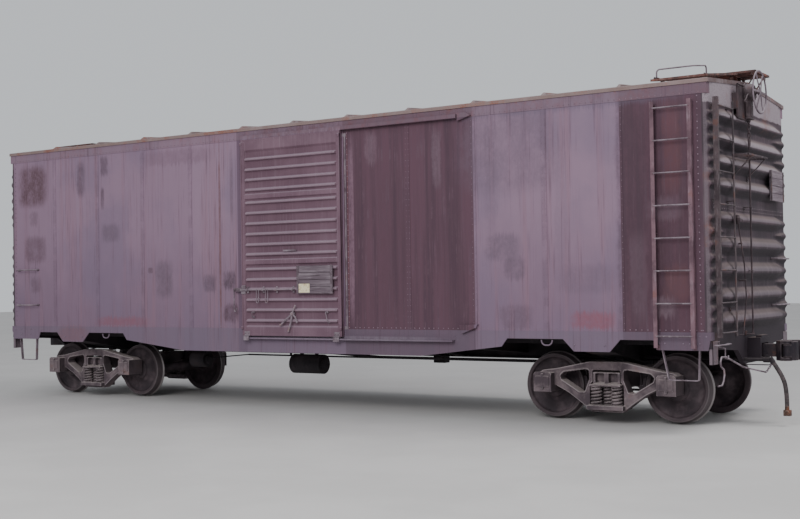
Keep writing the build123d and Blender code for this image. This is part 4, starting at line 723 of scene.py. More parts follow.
# Side sheets: rivets and bolts over the solid model's sheets, lapped and rivetted at each post
side = {
    "seams": [doorBay + panelPitch * k for k in range(6)],
    "seamRows": (0.970, 6.05),  # rows nearer the door or the corner than this are left out
    "rivetPitch": 0.076,
    "rivetApart": 0.022,   # rows either side of a seam's centre
    "rivet": (0.0085, 0.0050, 6),  # radius, height and sides of a head
    "sillRow": 1.203, "plateRow": 3.960, "eaveRow": 4.005, "cornerRow": 6.080,
    "rowEnd": 6.10, "doorEnd": 1.10,
    "eave": (3.99, 0.006),  # above this height the sheet is thicker by so much
    "sillBolts": [(x, z) for z, places in (
        (1.045, (5.56, 5.63, 5.86, 5.94, 6.06, -5.95, -5.72)),
        (1.130, (5.56, 5.63, 5.86, 5.94, 6.06, 6.14, -5.95, -5.72, -6.10)),
        (1.010, (4.45, 4.86, -4.45, -4.86))) for x in places],
    "sillBolt": (0.024, 0.012),
    "staples": (-3.926, 4.050), "staple": (0.075, 1.468, 1.070, 1.000),  # half width, out, top and foot
}


def makeSideRivets(name, sign):
    # Double rows down every seam, one row along the top and foot of the sheets, and bolts through the sill
    low, high, end = side["sillRow"], side["plateRow"], side["rowEnd"]
    columns = {s * (seam + shift) for seam in side["seams"] for s in (-1, 1)
               for shift in (-side["rivetApart"], side["rivetApart"])}
    nearest, farthest = side["seamRows"]
    lines = [((x, low), (x, high - 0.03)) for x in columns if nearest < abs(x) < farthest]
    lines += [((-end, low), (-side["doorEnd"], low)), ((side["doorEnd"], low), (end, low)),
              ((-end, side["eaveRow"]), (end, side["eaveRow"]))]
    lines += [((x, low), (x, high)) for x in (-side["cornerRow"], side["cornerRow"])]
    points = np.concatenate([spaced((x0, 0, z0), (x1, 0, z1), side["rivetPitch"])
                             for (x0, z0), (x1, z1) in lines])
    eave, thicker = side["eave"]
    points[:, 1] = -np.where(points[:, 2] > eave, wallFace + thicker, wallFace)
    bolts = [(x, -sillFace, z) for x, z in side["sillBolts"]]
    shapes = [headRow(points, near, *side["rivet"]), boltRow(bolts, near, *side["sillBolt"])]
    half, out, top, foot = side["staple"]
    for x in side["staples"]:
        path = [(x - half, -out, top), (x - half, -out, foot), (x + half, -out, foot), (x + half, -out, top)]
        shapes.append(roundBar(path, 0.010, near, 0.060, 10, 7))
    addPiece(name, "carbody", "weatheredEnamelSide", shapes if sign > 0 else turnedAbout(shapes),
             crease=50, marks={"head": evenMark(shapes, 1.0)})


makeSideRivets("side_rivets_near", 1)
makeSideRivets("side_rivets_far", -1)
print("side rivets set")

# Strip down each door opening's rear edge, low enough for the door to pass over, on two plates
strip = {
    "x": (0.944, 0.970), "z": (1.175, 3.930), "back": 1.4995, "face": 1.5063,
    "plate": (0.908, 0.978, 0.045),  # its limits along the side, and its height
}


def makeStrips():
    # One strip and a plate at its foot and head, a millimetre thinner
    (x0, x1), (z0, z1), (p0, p1, tall) = strip["x"], strip["z"], strip["plate"]
    shapes = [block(x0, x1, -strip["face"], -strip["back"], z0, z1)]
    shapes += [block(p0, p1, 0.001 - strip["face"], -strip["back"], z, z + tall) for z in (z0, z1 - tall)]
    addPiece("opening_strips", "carbody", "handWornSteel", bothWays(shapes))


makeStrips()

# Sliding door: one sheet pressed into thin crests with sunk pans between them, in three lapped bands
door = {
    "half": 0.915, "foot": 1.075, "head": 4.010, "plane": 1.552, "back": 1.514,
    "crests": [z + railTop for z in (3.649, 3.494, 3.343, 3.195, 3.004, 2.849, 2.693, 2.538, 2.383, 2.240,
                                     2.022, 1.869, 1.726, 1.571, 1.421, 1.267)],
    "panHalf": 0.849, "panSlope": 0.016,
    "crestHalf": 0.007,   # half of a crest's flat top
    "crestSlope": 0.024, "crestDepth": 0.028,
    "crestEnd": (0.022, 0.002),  # how far before a pan's end a crest starts to run out, and is gone
    "panDepth": 0.012, "panSag": 0.25, "panEnd": 0.02,
    "crestSteps": (-0.033, -0.027, -0.021, -0.016, -0.011, -0.006),
    "stile": 0.014,       # the sheet's level at the stiles and laps
    "stilePlate": (0.064, 0.0175, 3.940),  # width, how far it stands over the plane, and its top
    "lapBands": [3.124, 2.155], "lapHalf": (0.030, 0.046),
    "topPan": 3.800, "footPan": 1.215,
    "rivet": (0.0085, 0.005, 6), "rivetPitch": 0.078,
    "stileRows": ((0.016, 0.050), 1.10, 3.92),  # distances in from the edge, foot and top
    "crossRows": ((0.80, 3.124), (0.80, 2.155), (0.84, 3.955), (0.80, 1.135)),  # half length, height
    "edgeBars": ((0.904, 0.010), (-0.904, 0.008)), "edgeBarOut": 1.5735, "edgeBarZ": (1.170, 3.925),
    "plateTone": 0.62,    # as bright as this share of the way from a pan's sink to a crest
}


def doorRelief(x, z):
    # Height of the pressing over the door's plane: stile level at the rim, pans at 0 inside it, and
    # crests in the pans that run out before the pans' ends
    look = door
    out, end = np.abs(x), look["panEnd"]
    inside = 1 - smooth(out, look["panHalf"] - look["panSlope"], look["panHalf"] + 0.004)
    band = smooth(z, look["footPan"] - end, look["footPan"] + end) * (
        1 - smooth(z, look["topPan"] - end, look["topPan"] + end))
    for lap in look["lapBands"]:
        band = band * smooth(np.abs(z - lap), *look["lapHalf"])
    pan = inside * band
    above = np.abs(z[..., None] - look["crests"]).min(-1)
    starts, gone = look["crestEnd"]
    crest = (1 - smooth(above, look["crestHalf"], look["crestHalf"] + look["crestSlope"])) * (
        1 - smooth(out, look["panHalf"] - starts, look["panHalf"] - gone))
    sag = 1 - look["panSag"] * smooth(out, 0.0, look["panHalf"])
    return (np.maximum(look["stile"] * (1 - pan), crest * look["crestDepth"] * band)
            - look["panDepth"] * sag * pan * (1 - crest))


# What is bolted and rivetted to a door, in metres along it, out from the car's middle and up
doorIrons = {
    "guides": ((-0.825, 0.825), (
        (block, -0.042, 0.042, -1.5665, -1.5125, 1.0493, 1.0752, 0.004),
        (block, -0.050, 0.050, -1.574, -1.560, 1.072, 1.140, 0.003),
        (block, -0.050, 0.050, -1.601, -1.568, 1.066, 1.080, 0.003),
        (block, -0.050, 0.050, -1.601, -1.590, 1.004, 1.078, 0.003),
        (boltRow, [(-0.028, -1.574, 1.112), (0.028, -1.574, 1.112)], near))),
    # Hasp across the door post with its hook hanging, and the latch block that it turns on
    "hasp": ((0.0,), (
        (strap, [(-1.100, -1.548, 1.751), (-0.930, -1.548, 1.751), (-0.885, -1.574, 1.751),
                 (-0.860, -1.574, 1.751)], 0.052, 0.014, near),
        (block, -0.925, -0.845, -1.582, -1.552, 1.685, 1.815, 0.006),
        (boltRow, [(x, -1.5825, z) for x in (-0.905, -0.865) for z in (1.705, 1.795)], near, 0.018, 0.008),
        (roundBar, [(-1.078, -1.562, 1.760), (-1.078, -1.566, 1.470), (-1.060, -1.566, 1.425),
                    (-1.030, -1.566, 1.440), (-1.026, -1.566, 1.480)], 0.0075, near, 0.012, 8),
        (turnedShape, [(-1.569, 0.016), (-1.566, 0.018), (-1.556, 0.018), (-1.552, 0.012)],
         (-1.078, 0, 1.751), 1, 14),
        # Locking rod, and the small plate over the hand holds
        (roundBar, [(-0.926, -1.596, 1.747), (0.095, -1.596, 1.747)], 0.009, near),
        (block, -0.116, 0.124, -1.5835, -1.576, 2.298, 2.322, 0.001),
        # Boss of the starting lever
        (turnedShape, [(-1.618, 0.012), (-1.614, 0.022), (-1.600, 0.030), (-1.566, 0.034), (-1.560, 0.034)],
         (0.043, 0, 1.394), 1, 18))),
    "rodGuides": ((-0.800, -0.500, -0.250, 0.060), (
        (block, -0.016, 0.016, -1.610, -1.560, 1.731, 1.763, 0.004),
        (block, -0.016, 0.016, -1.574, -1.560, 1.700, 1.794, 0.003),
        (boltRow, [(0, -1.574, 1.712), (0, -1.574, 1.782)], near, 0.014, 0.008))),
    "loops": ((-0.590, -0.418), (
        (roundBar, [(-0.021, -1.600, 1.760), (-0.021, -1.606, 1.570), (0, -1.606, 1.552),
                    (0.021, -1.606, 1.570), (0.021, -1.600, 1.760)], 0.0055, near, 0.010, 8),)),
}
startingLever = {  # its boss, and each arm's end with its half thickness and how far its middle is pushed
    "boss": (0.043, -1.592, 1.394),
    "arms": ((0.100, 1.509, 0.010, (0.0, 0.0)), (-0.173, 1.235, 0.009, (0.02, 0.014)),
             (0.132, 1.279, 0.009, (0.02, 0.014)), (-0.026, 1.149, 0.010, (0.02, 0.014))),
    "knob": [(-1.604, 0.010), (-1.600, 0.016), (-1.588, 0.016), (-1.584, 0.010)],
}
handHolds = (((-0.700, 1.423), (-0.700, 1.349)), ((0.656, 1.423), (0.689, 1.282)))


def doorIronShapes():
    # The table's groups at each of their places, then the lever's arms and the hand holds
    shapes = []
    for places, rows in doorIrons.values():
        for x in places:
            shapes += built(rows, (x, 0, 0))
    bossX, _, bossZ = startingLever["boss"]
    for x, z, half, (pushX, pushZ) in startingLever["arms"]:
        middle = ((bossX + x) / 2 + pushX, -1.600, (bossZ + z) / 2 + pushZ)
        path = bent([startingLever["boss"], middle, (x, -1.594, z)], 0.05)
        shapes += [strap(path, half * 2.6, 0.013, near, 0.003),
                   turnedShape(startingLever["knob"], (x, 0, z), 1, 12)]
    for (x0, z0), (x1, z1) in handHolds:
        path = [(x0, -1.562, z0), (x0, -1.604, z0), (x1, -1.604, z1), (x1, -1.562, z1)]
        shapes.append(roundBar(path, 0.007, (1, 0, 0), 0.014, 8))
        shapes += [block(x - 0.020, x + 0.020, -1.572, -1.560, z - 0.015, z + 0.015)
                   for x, z in ((x0, z0), (x1, z1))]
    return shapes


def makeDoor(name, turn):
    # The sheet is a grid with its columns close at the pans' ends and its rows close at the crests and laps
    look = door
    half, span = look["half"], look["panHalf"]
    x = np.unique(np.round(np.concatenate([
        np.linspace(low, high, count) for low, high, count in (
            (-half, -span - 0.004, 3), (-span - 0.004, -span + 0.030, 11), (-span + 0.030, span - 0.030, 14),
            (span - 0.030, span + 0.004, 11), (span + 0.004, half, 3))]), 5))
    steps = np.concatenate([look["crestSteps"], [0.0], np.negative(look["crestSteps"])])
    levels = [np.linspace(look["foot"], look["head"], 60)] + [height + steps for height in look["crests"]]
    levels += [height + np.linspace(-0.050, 0.050, 14) for height in look["lapBands"]]
    levels += [height + np.linspace(-0.026, 0.026, 9) for height in (look["topPan"], look["footPan"])]
    gridX, gridZ = np.meshgrid(x, np.unique(np.round(np.concatenate(levels), 4)), indexing="ij")
    relief = doorRelief(gridX, gridZ)
    front = np.stack([gridX, -look["plane"] - relief, gridZ], -1)
    back = np.stack([gridX, np.full_like(gridX, -look["back"]), gridZ], -1)
    # Stile plates, rivets along them, the laps and the rails, and a bar down each edge on two blocks
    wide, proud, top = look["stilePlate"]
    insets, rowFoot, rowTop = look["stileRows"]
    plates = np.concatenate([spaced((s * (half - inset), 0, rowFoot), (s * (half - inset), 0, rowTop),
                                    look["rivetPitch"]) for s in (-1, 1) for inset in insets])
    plates[:, 1] = -look["plane"] - proud
    lines = np.concatenate([spaced((-reach, 0, z), (reach, 0, z), look["rivetPitch"])
                            for reach, z in look["crossRows"]])
    lines[:, 1] = -look["plane"] - look["stile"]
    shapes = [slabOf(front, back)] + [headRow(spots, near, *look["rivet"]) for spots in (plates, lines)]
    shapes += [softBlock((s * (half - wide), -look["plane"] - proud, look["foot"]),
                         (s * half, -look["plane"] + 0.004, top), 0.003) for s in (-1, 1)]
    low, high = look["edgeBarZ"]
    for x, radius in look["edgeBars"]:
        shapes.append(roundBar([(x, -look["edgeBarOut"], low), (x, -look["edgeBarOut"], high)], radius, near))
        shapes += [block(x - 0.022, x + 0.011, -1.590, -1.560, z - 0.024, z + 0.024, 0.006)
                   for z in (low + 0.020, high - 0.020)]
    # The mark runs from a pan's sink to a crest: crests take a painted highlight with their wear, and the
    # pans a painted shade
    pan = np.clip((relief + look["panDepth"]) / (look["crestDepth"] + look["panDepth"]), 0, 1).ravel()
    rise = np.concatenate([pan, pan, evenMark(shapes[1:], look["plateTone"])])
    addPiece("irons_" + name, name, "handWornSteel", turn(doorIronShapes()))
    addPiece("pressed_" + name, name, "weatheredEnamelDoor", turn(shapes), [name], 40,
             {"rise": rise})


makeDoor("door_near", list)
makeDoor("door_far", turnedAbout)
print("doors pressed")

# Tack boards: oak planks between two clips of bent strap, and a blank card on the door's board
tackBoard = {
    "door": ((0.149, -1.602, 1.685), (0.779, -1.580, 2.083)),
    "card": (0.160, 0.376, -1.6045, -1.6015, 1.700, 1.826),
    "end": ((6.265, 0.640, 2.815), (6.287, 1.190, 3.215)),
    "gap": 0.004, "clip": 0.034, "strap": 0.004, "lap": 0.006,
    "askew": (0.0, 0.0016, 0.0006, 0.0024),  # how far each plank's face lies back
}


def boardShapes(low, high, axis):
    # Planks one above the other, each a little askew in depth, and a strap down both ends with a nut
    # over each plank. The board faces out of a side (axis 1) or an end (axis 0).
    look = tackBoard
    low, high = np.array(low), np.array(high)
    wide, out, count = 1 - axis, outOf(axis), len(look["askew"])
    height = (high[2] - low[2] + look["gap"]) / count
    planks, clips = [], []
    for k, shift in enumerate(look["askew"]):
        a, b = low.copy(), high.copy()
        a[2] = low[2] + k * height
        b[2] = a[2] + height - look["gap"]
        (a if axis else b)[axis] -= out[axis] * shift
        planks.append(softBlock(a, b, 0.003))
    face = low[axis] if axis else high[axis]
    front = face + out[axis] * look["strap"]
    for a, b in ((low[wide] - look["lap"], low[wide] + look["clip"]),
                 (high[wide] - look["clip"], high[wide] + look["lap"])):
        one, two, spots = low.copy(), high.copy(), np.zeros((count, 3))
        one[wide], two[wide] = a, b
        one[axis], two[axis] = front, face - out[axis] * 0.001
        one[2], two[2] = low[2] - 0.004, high[2] + 0.004
        spots[:, wide], spots[:, axis] = (a + b) / 2, front
        spots[:, 2] = low[2] + (np.arange(count) + 0.5) * (high[2] - low[2]) / count
        clips += [softBlock(one, two, 0.0015), boltRow(spots, out, 0.016, 0.007)]
    return planks, clips


def makeTackBoards():
    # The near door's board, the same turned for the far door, and one on each end
    planks, clips = boardShapes(*tackBoard["door"], 1)
    card = [block(*tackBoard["card"], 0.0008)]
    for body, turn in (("door_near", list), ("door_far", turnedAbout)):
        addPiece("planks_" + body, body, "silveredOak", turn(planks), [body + "_tack_board"])
        addPiece("clips_" + body, body, "handWornSteel", turn(clips))
        addPiece("card_" + body, body, "agedCardStock", turn(card))
    planks, clips = boardShapes(*tackBoard["end"], 0)
    addPiece("planks_ends", "carbody", "silveredOak", bothWays(planks), ["end_tack_boards"])
    addPiece("clips_ends", "carbody", "forgedIron", bothWays(clips))


makeTackBoards()
print("tack boards hung")

# Pressed ends: a lower and an upper sheet lapped at mid height, each with rolled ribs that thin out
# towards the corners and short darts between them
endPress = {
    "half": 1.397, "face": endFace, "thickness": 0.028,
    "foot": 1.073, "lap": 2.665, "lapHalf": 0.045, "lapProud": 0.008,
    "lowRibs": ((1.304, 0.112), (1.591, 0.112), (1.899, 0.112), (2.210, 0.112), (2.526, 0.096)),
    "highRibs": ((2.921, 0.104), (3.197, 0.104), (3.469, 0.104), (3.754, 0.092)),
    "depth": 0.064, "reach": 1.515, "taper": 0.58,
    "thin": 0.42,        # share of its height that a rib has at its tip
    "tip": 0.055,        # over which ribs and darts run out round the corner
    "tipDepth": 0.34,    # share of its depth that a rib keeps up to there
    "dartDepth": 0.030, "dartHalf": 0.056, "dartLength": 0.60,
    "gable": 3.875, "gableHalf": 1.307, "gableProud": 0.008,
    "flatTone": 0.25,    # how bright the flat sheet is, where a crest is 1
    "shade": 2.2,        # how fast the painted shade, with some soot, deepens with a face's downward slope
    "splash": (0.02, 0.20),  # over the foot, where the brakes' dust hides the sheet, and where it ends
    "lowDarkening": (0.74, 2.4, 3.6),  # tone at the foot and up to the first height, and 1 over the second: darker towards the bottom
    "rim": 0.006,        # over which a lap or a plate rises
    "columns": 94, "lowRows": 92, "highRows": 88,
    "rivetPitch": 0.076, "rivetRow": (1.36, 0.022), "rivet": (0.0105, 0.007, 6), "rivetTone": 0.8,
    # The sheet turns round the corner post and ends in a lip on the side
    "post": (1.180, 3.982), "turnRadius": 0.060, "lip": 1.5443, "postRows": 180, "postColumns": 17,
    "postTone": 0.70, "lipDark": 0.45,  # how bright it is where it turns, and how much darker its lip
}


def roofUnder(y):
    # Height of the roof sheets' underside: straight from the ridge down to the eaves
    return 4.110 + 0.130 * (1 - np.abs(y) / 1.520)


def endRelief(y, z, ribs):
    # Each rib is a raised cosine across its height, which thins along a smooth step towards the corner
    # and runs out there. A dart is the same the other way round, pointed towards the car's centre line.
    # y is measured along the sheet, so also round the corner.
    look = endPress
    out = np.abs(y)
    full = 1 - smooth(out, look["reach"] - look["taper"], look["reach"] - look["tip"])
    runOut = 1 - smooth(out, look["reach"] - look["tip"], look["reach"])
    relief = np.zeros_like(y)
    for height, half in ribs:
        across = np.clip(np.abs(z - height) / (half * (look["thin"] + (1 - look["thin"]) * full)), 0, 1)
        depth = look["depth"] * runOut * (look["tipDepth"] + (1 - look["tipDepth"]) * full)
        relief = np.maximum(relief, depth * np.cos(across * np.pi / 2) ** 1.1)
    along = np.clip((out - look["reach"] + look["dartLength"]) / (look["dartLength"] - look["tip"]), 0, 1)
    for (under, _), (over, _) in zip(ribs, ribs[1:]):
        half = look["dartHalf"] * np.maximum(along, 0.02) ** 0.7
        across = np.clip(np.abs(z - (under + over) / 2) / half, 0, 1)
        relief = np.maximum(relief, look["dartDepth"] * smooth(along, 0.0, 0.6) * runOut
                            * np.cos(across * np.pi / 2) ** 1.2)
    return relief


def endTone(relief, z):
    # 1 on crests, as dust with a painted highlight, and on the gable plate; less by painted shade and soot
    # where the sheet looks down, and darker towards the bottom
    look = endPress
    slope = np.gradient(relief, axis=1) / np.maximum(np.gradient(z, axis=1), 1e-6)
    tone = np.clip(look["flatTone"] + relief / look["depth"] - look["shade"] * np.clip(slope, 0, 1), 0, 1)
    (hidden, clear), (least, low, high) = look["splash"], look["lowDarkening"]
    tone *= smooth(z, look["foot"] + hidden, look["foot"] + clear)
    tone *= least + (1 - least) * smooth(z, low, high)
    return np.maximum(tone, smooth(z, look["gable"], look["gable"] + 0.01))


def makeEnd(name, ribs, rows, low, high, rivetSide):
    # A grid whose columns come closer towards the corners, a quarter as a sine does, and a row of
    # rivets on one side of the lap
    look = endPress
    share = np.linspace(-1, 1, look["columns"])
    y = look["half"] * (np.sin(share * np.pi / 2) * 0.25 + share * 0.75)
    gridY, level = np.meshgrid(y, np.linspace(0, 1, rows), indexing="ij")
    z = low + level * (high(gridY) - low)
    relief = endRelief(gridY, z, ribs)
    tone, rim = endTone(relief, z), look["rim"]
    lap = smooth(look["lapHalf"] - np.abs(z - look["lap"]), 0.0, 0.004)
    plate = smooth(z - look["gable"], 0.0, rim) * smooth(look["gableHalf"] - np.abs(gridY), 0.0, rim)
    relief = np.maximum(relief, look["lapProud"] * lap + look["gableProud"] * plate)
    front = np.stack([look["face"] + relief, gridY, z], -1)
    back = np.stack([front[..., 0] - look["thickness"], gridY, z], -1)
    half, apart = look["rivetRow"]
    x, lapZ = look["face"] + look["lapProud"], look["lap"] + rivetSide * apart
    heads = headRow(spaced((x, -half, lapZ), (x, half, lapZ), look["rivetPitch"]), (1, 0, 0), *look["rivet"])
    rise = np.concatenate([tone.ravel(), tone.ravel(), evenMark([heads], look["rivetTone"])])
    addPiece("pressed_" + name, "carbody", "sootedEnamelEnd", bothWays([slabOf(front, back), heads]), [name],
             50, {"rise": np.concatenate([rise, rise])})


def makeCorners():
    # The end sheet's run from the end's face round the post to its lip on the side, in plan a line,
    # a quarter circle and a line; the ribs and darts die out on it
    look = endPress
    radius = look["turnRadius"]
    bend = wallFace - radius
    turned = radius * np.pi / 2
    s = np.linspace(bend, bend + turned, look["postColumns"])
    s = np.unique([look["half"], *s, look["lip"]])
    gridS, z = np.meshgrid(s, np.linspace(*look["post"], look["postRows"]), indexing="ij")
    relief = np.where(z < look["lap"], endRelief(gridS, z, look["lowRibs"]),
                      endRelief(gridS, z, look["highRibs"]))
    angle = np.clip((gridS - bend) / radius, 0, np.pi / 2)
    past = np.clip(gridS - bend - turned, 0, None)
    x = look["face"] - radius + (radius + relief) * np.cos(angle) - past
    y = np.minimum(gridS, bend) + (radius + relief) * np.sin(angle)
    tone = np.maximum(endTone(relief, z),
                      look["postTone"] * smooth(gridS, bend + 0.1 * turned, bend + 0.5 * turned))
    tone *= 1 - look["lipDark"] * smooth(gridS, bend + 0.85 * turned, bend + turned)
    front = np.stack([x, -y, z], -1)
    back = np.stack([np.minimum(x, look["face"] - radius), -np.minimum(y, bend), z], -1)
    post = [slabOf(front, back)]
    addPiece("pressed_corners", "carbody", "sootedEnamelEnd", bothWays(post + mirroredAcross(post)),
             ["corner_posts"], 50, {"rise": np.tile(tone.ravel(), 8)})


makeEnd("end_panels_lower", endPress["lowRibs"], endPress["lowRows"], endPress["foot"],
        lambda y: endPress["lap"] + 0 * y, -1)
makeEnd("end_panels_upper", endPress["highRibs"], endPress["highRows"], endPress["lap"], roofUnder, 1)
makeCorners()

# Bent plates at the corners, which close the end sill's ends and hang below them
cornerPlate = {
    "x": (6.160, 6.208), "y": (-1.478, -1.305), "z": (0.800, 1.075), "thick": 0.012,
    "bolts": (0.050, 0.045),  # in from each edge and up from the foot
    "tone": 0.75,
}


def makeCornerPlates():
    # Two leaves square to each other, with a bolt near each lower corner
    look = cornerPlate
    (x0, x1), (y0, y1), (z0, z1), (inset, up) = look["x"], look["y"], look["z"], look["bolts"]
    shapes = [block(x1 - look["thick"], x1, y0, y1, z0, z1, 0.003),
              block(x0, x1, y0, y0 + look["thick"], z0, z1, 0.003),
              boltRow([(x1, y0 + inset, z0 + up), (x1, y1 - inset, z0 + up)], (1, 0, 0), 0.024, 0.010)]
    shapes = bothWays(shapes + mirroredAcross(shapes))
    addPiece("corner_plates", "carbody", "sootedEnamelEnd", shapes,
             marks={"rise": evenMark(shapes, look["tone"])})


makeCornerPlates()
print("ends pressed")

# Roof sheets: a panel between each two seams, pressed up in its middle, and a cap over each seam
roofLook = {
    "halfX": 6.215, "halfY": 1.520, "thickness": 0.050, "edge": 0.016,
    "seams": [0.0] + [s * (doorBay + panelPitch * k) for k in range(5) for s in (-1, 1)],
    "capHalf": 0.021, "capHeight": 0.036, "capReach": 1.500,
    "panelRise": 0.014, "panelMargin": 0.070, "panelLow": 0.070, "panelHigh": 1.430,
    "nearSeam": (-0.110, -0.090, -0.070, -0.050, -0.030, -0.0215, -0.019, -0.012, 0.0),  # grid lines
    "rows": 45, "columns": 90, "clear": 0.12,  # no other column comes closer to a seam
    "eaveTone": (1.40, 1.50),  # distances from the centre line between which the eave's rust begins
}


def makeRoof():
    # The top is the underside's height and the sheet's thickness, plus a cap over each seam (the
    # fourth root of a circle's kind of curve), plus each panel's smooth rise, less the rounded eave
    look = roofLook
    seams, nearSeam = np.sort(look["seams"]), np.array(look["nearSeam"])
    halfX, halfY, edge = look["halfX"], look["halfY"], look["edge"]
    wide = np.linspace(-halfX, halfX, look["columns"])
    wide = wide[np.abs(wide[:, None] - seams[None]).min(1) > look["clear"]]
    x = np.concatenate([(seams[:, None] + nearSeam).ravel(), (seams[:, None] - nearSeam).ravel(),
                        wide, [-halfX, halfX]])
    y = np.unique(np.append(np.linspace(-halfY, halfY, look["rows"]), [0.012 - halfY, halfY - 0.012]))
    gridX, gridY = np.meshgrid(np.unique(np.round(x, 5)), y, indexing="ij")
    beside = np.abs(gridX[..., None] - seams).min(-1)
    out = np.abs(gridY)
    cap = np.sqrt(np.clip(1 - (beside / (look["capHalf"] + 0.0005)) ** 4, 0, 1))
    cap = cap * (1 - smooth(out, look["capReach"] - 0.020, look["capReach"]))
    panel = (smooth(beside, look["panelMargin"] - 0.02, look["panelMargin"] + 0.03)
             * smooth(halfX - 0.035 - np.abs(gridX), 0.0, 0.05)
             * smooth(out, look["panelLow"], look["panelLow"] + 0.05)
             * (1 - smooth(out, look["panelHigh"] - 0.08, look["panelHigh"])))
    rounded = 0.5 * edge * (1 - np.sqrt(1 - ((out - halfY + edge) / edge).clip(0, 1) ** 2))
    top = roofUnder(gridY) + look["thickness"] + cap * look["capHeight"] + panel * look["panelRise"] - rounded
    front = np.stack([gridX, gridY, top], -1)
    back = np.stack([gridX, gridY, roofUnder(gridY)], -1)
    eave = smooth(out, *look["eaveTone"])
    addPiece("seamed_roof", "carbody", "galvanisedRoof", [slabOf(front, back)], ["roof"], 40,
             {"rise": np.append(np.maximum(cap, eave), eave)})


makeRoof()
print("roof laid")

never = (9.0, 9.1)  # farther out than any point of a wheel

# Wheelsets: the wheels and the axle are one turned profile, softened at its corners
wheelset = {
    "axleHeight": 0.444, "truck": 4.668, "axle": 0.838,
    "half": (  # distance from the car's centre line, radius: from the axle's middle out to its end
        (0.000, 0.072), (0.610, 0.078), (0.640, 0.092), (0.668, 0.093), (0.668, 0.138), (0.700, 0.152),
        (0.738, 0.215), (0.736, 0.300), (0.714, 0.349), (0.681, 0.361), (0.678, 0.372), (0.678, 0.428),
        (0.684, 0.441), (0.692, 0.444), (0.700, 0.442), (0.709, 0.432), (0.720, 0.423), (0.738, 0.4205),
        (0.806, 0.4165), (0.818, 0.412), (0.823, 0.404), (0.823, 0.368), (0.815, 0.360), (0.786, 0.350),
        (0.766, 0.315), (0.768, 0.225), (0.798, 0.160), (0.822, 0.150), (0.833, 0.142), (0.833, 0.094),
        (0.849, 0.090), (0.851, 0.070), (1.105, 0.070), (1.106, 0.080), (1.116, 0.080), (1.118, 0.077)),
    "steps": 72, "corner": 0.008,
    # How bright the rolled steel is: a share, and the distances from the axle and then from the car's
    # centre line over which it comes and goes
    "bright": ((0.05, (0.409, 0.415), never, (0.690, 0.700), (0.819, 0.8225)),  # tread
               (0.25, (0.400, 0.405), (0.412, 0.415), (0.815, 0.820), never),  # rim's outer face
               (0.70, (0.424, 0.431), never, (0.684, 0.692), never)),  # flange
}


def softened(profile, cut):
    # Each inner corner is cut back along both of its lines, by a third of a line at most, and given
    # a point midway
    profile = np.asarray(profile, float)
    here = profile[1:-1]
    a, b = (here + unit(line) * np.minimum(cut, np.linalg.norm(line, axis=1, keepdims=True) * 0.35)
            for line in (profile[:-2] - here, profile[2:] - here))
    middle = (a + b) / 4 + here / 2
    return np.concatenate([profile[:1], np.stack([a, middle, b], 1).reshape(-1, 2), profile[-1:]])


def makeWheelset(body, x):
    # The half profile and its mirror image, turned about the axle
    look = wheelset
    half = softened(look["half"], look["corner"])
    profile = np.concatenate([half[::-1] * (-1, 1), half[1:]])
    points, faces = turnedShape(profile, (x, 0, look["axleHeight"]), 1, look["steps"])
    reach = np.hypot(points[:, 0] - x, points[:, 2] - look["axleHeight"])
    out = np.abs(points[:, 1])
    worn = [share * smooth(reach, *start) * (1 - smooth(reach, *stop))
            * smooth(out, *inner) * (1 - smooth(out, *outer))
            for share, start, stop, inner, outer in look["bright"]]
    addPiece("turned_" + body, body, "rolledWheelSteel", [(points, faces)], [body], 40,
             {"reach": reach, "worn": np.max(worn, 0)})


for end, sign in (("b", 1), ("a", -1)):
    for name, shift in (("outer", wheelset["axle"]), ("inner", -wheelset["axle"])):
        makeWheelset(f"wheelset_{end}_{name}", sign * (wheelset["truck"] + shift))
print("wheelsets turned")

# Truck springs: a coil of round bar inside another, between two cups
springs = {
    "places": [(sx * 0.140, sy * 0.077) for sx in (-1, 1) for sy in (-1, 1)] + [(0.0, 0.0)],
    "centre": 0.978, "low": 0.230, "high": 0.470, "gap": 0.004,
    "cup": ((0.0, 0.074), (0.008, 0.074), (0.010, 0.071)),  # height over its seat, radius
    "coils": ((0.0590, 0.0148, 5.6), (0.031, 0.0090, 8.0)),  # radius, radius of the bar, turns
    "steps": 17, "sides": 8,
    "dead": (0.6, 0.04),  # turns at each end that are ground flat, and their share of the rise
}


def coil(x, y, radius, wire, turns):
    # A helix whose rise slows to nearly nothing in the first and last half turn, as ground ends do
    look = springs
    dead, slow = look["dead"]
    share = np.linspace(0, 1, int(turns * look["steps"]) + 1)
    level = np.interp(share, [0, dead / turns, 1 - dead / turns, 1], [0.0, slow, 1 - slow, 1.0])
    angle = share * turns * 2 * np.pi
    low, high = look["low"] + look["gap"] + wire, look["high"] - look["gap"] - wire
    path = np.stack([x + radius * np.cos(angle), y + radius * np.sin(angle), low + level * (high - low)], 1)
    return carried(ring(wire, look["sides"]), path, (0, 0, 1))


def makeSprings(end, sign):
    # Both coils and both cups at each place, on both sides of the truck
    look = springs
    shapes = []
    for dx, dy in look["places"]:
        for flank in (-1, 1):
            x, y = sign * wheelset["truck"] + dx, flank * (look["centre"] + dy)
            shapes += [coil(x, y, *bar) for bar in look["coils"]]
            shapes += [turnedShape(look["cup"], (x, y, z), 2, 24)
                       for z in (look["low"], look["high"] - 0.010)]
    addPiece("coiled_springs_" + end, "truck_" + end, "springSteel", shapes, [f"truck_{end}_springs"],
             40)


makeSprings("b", 1)
makeSprings("a", -1)
print("springs wound")

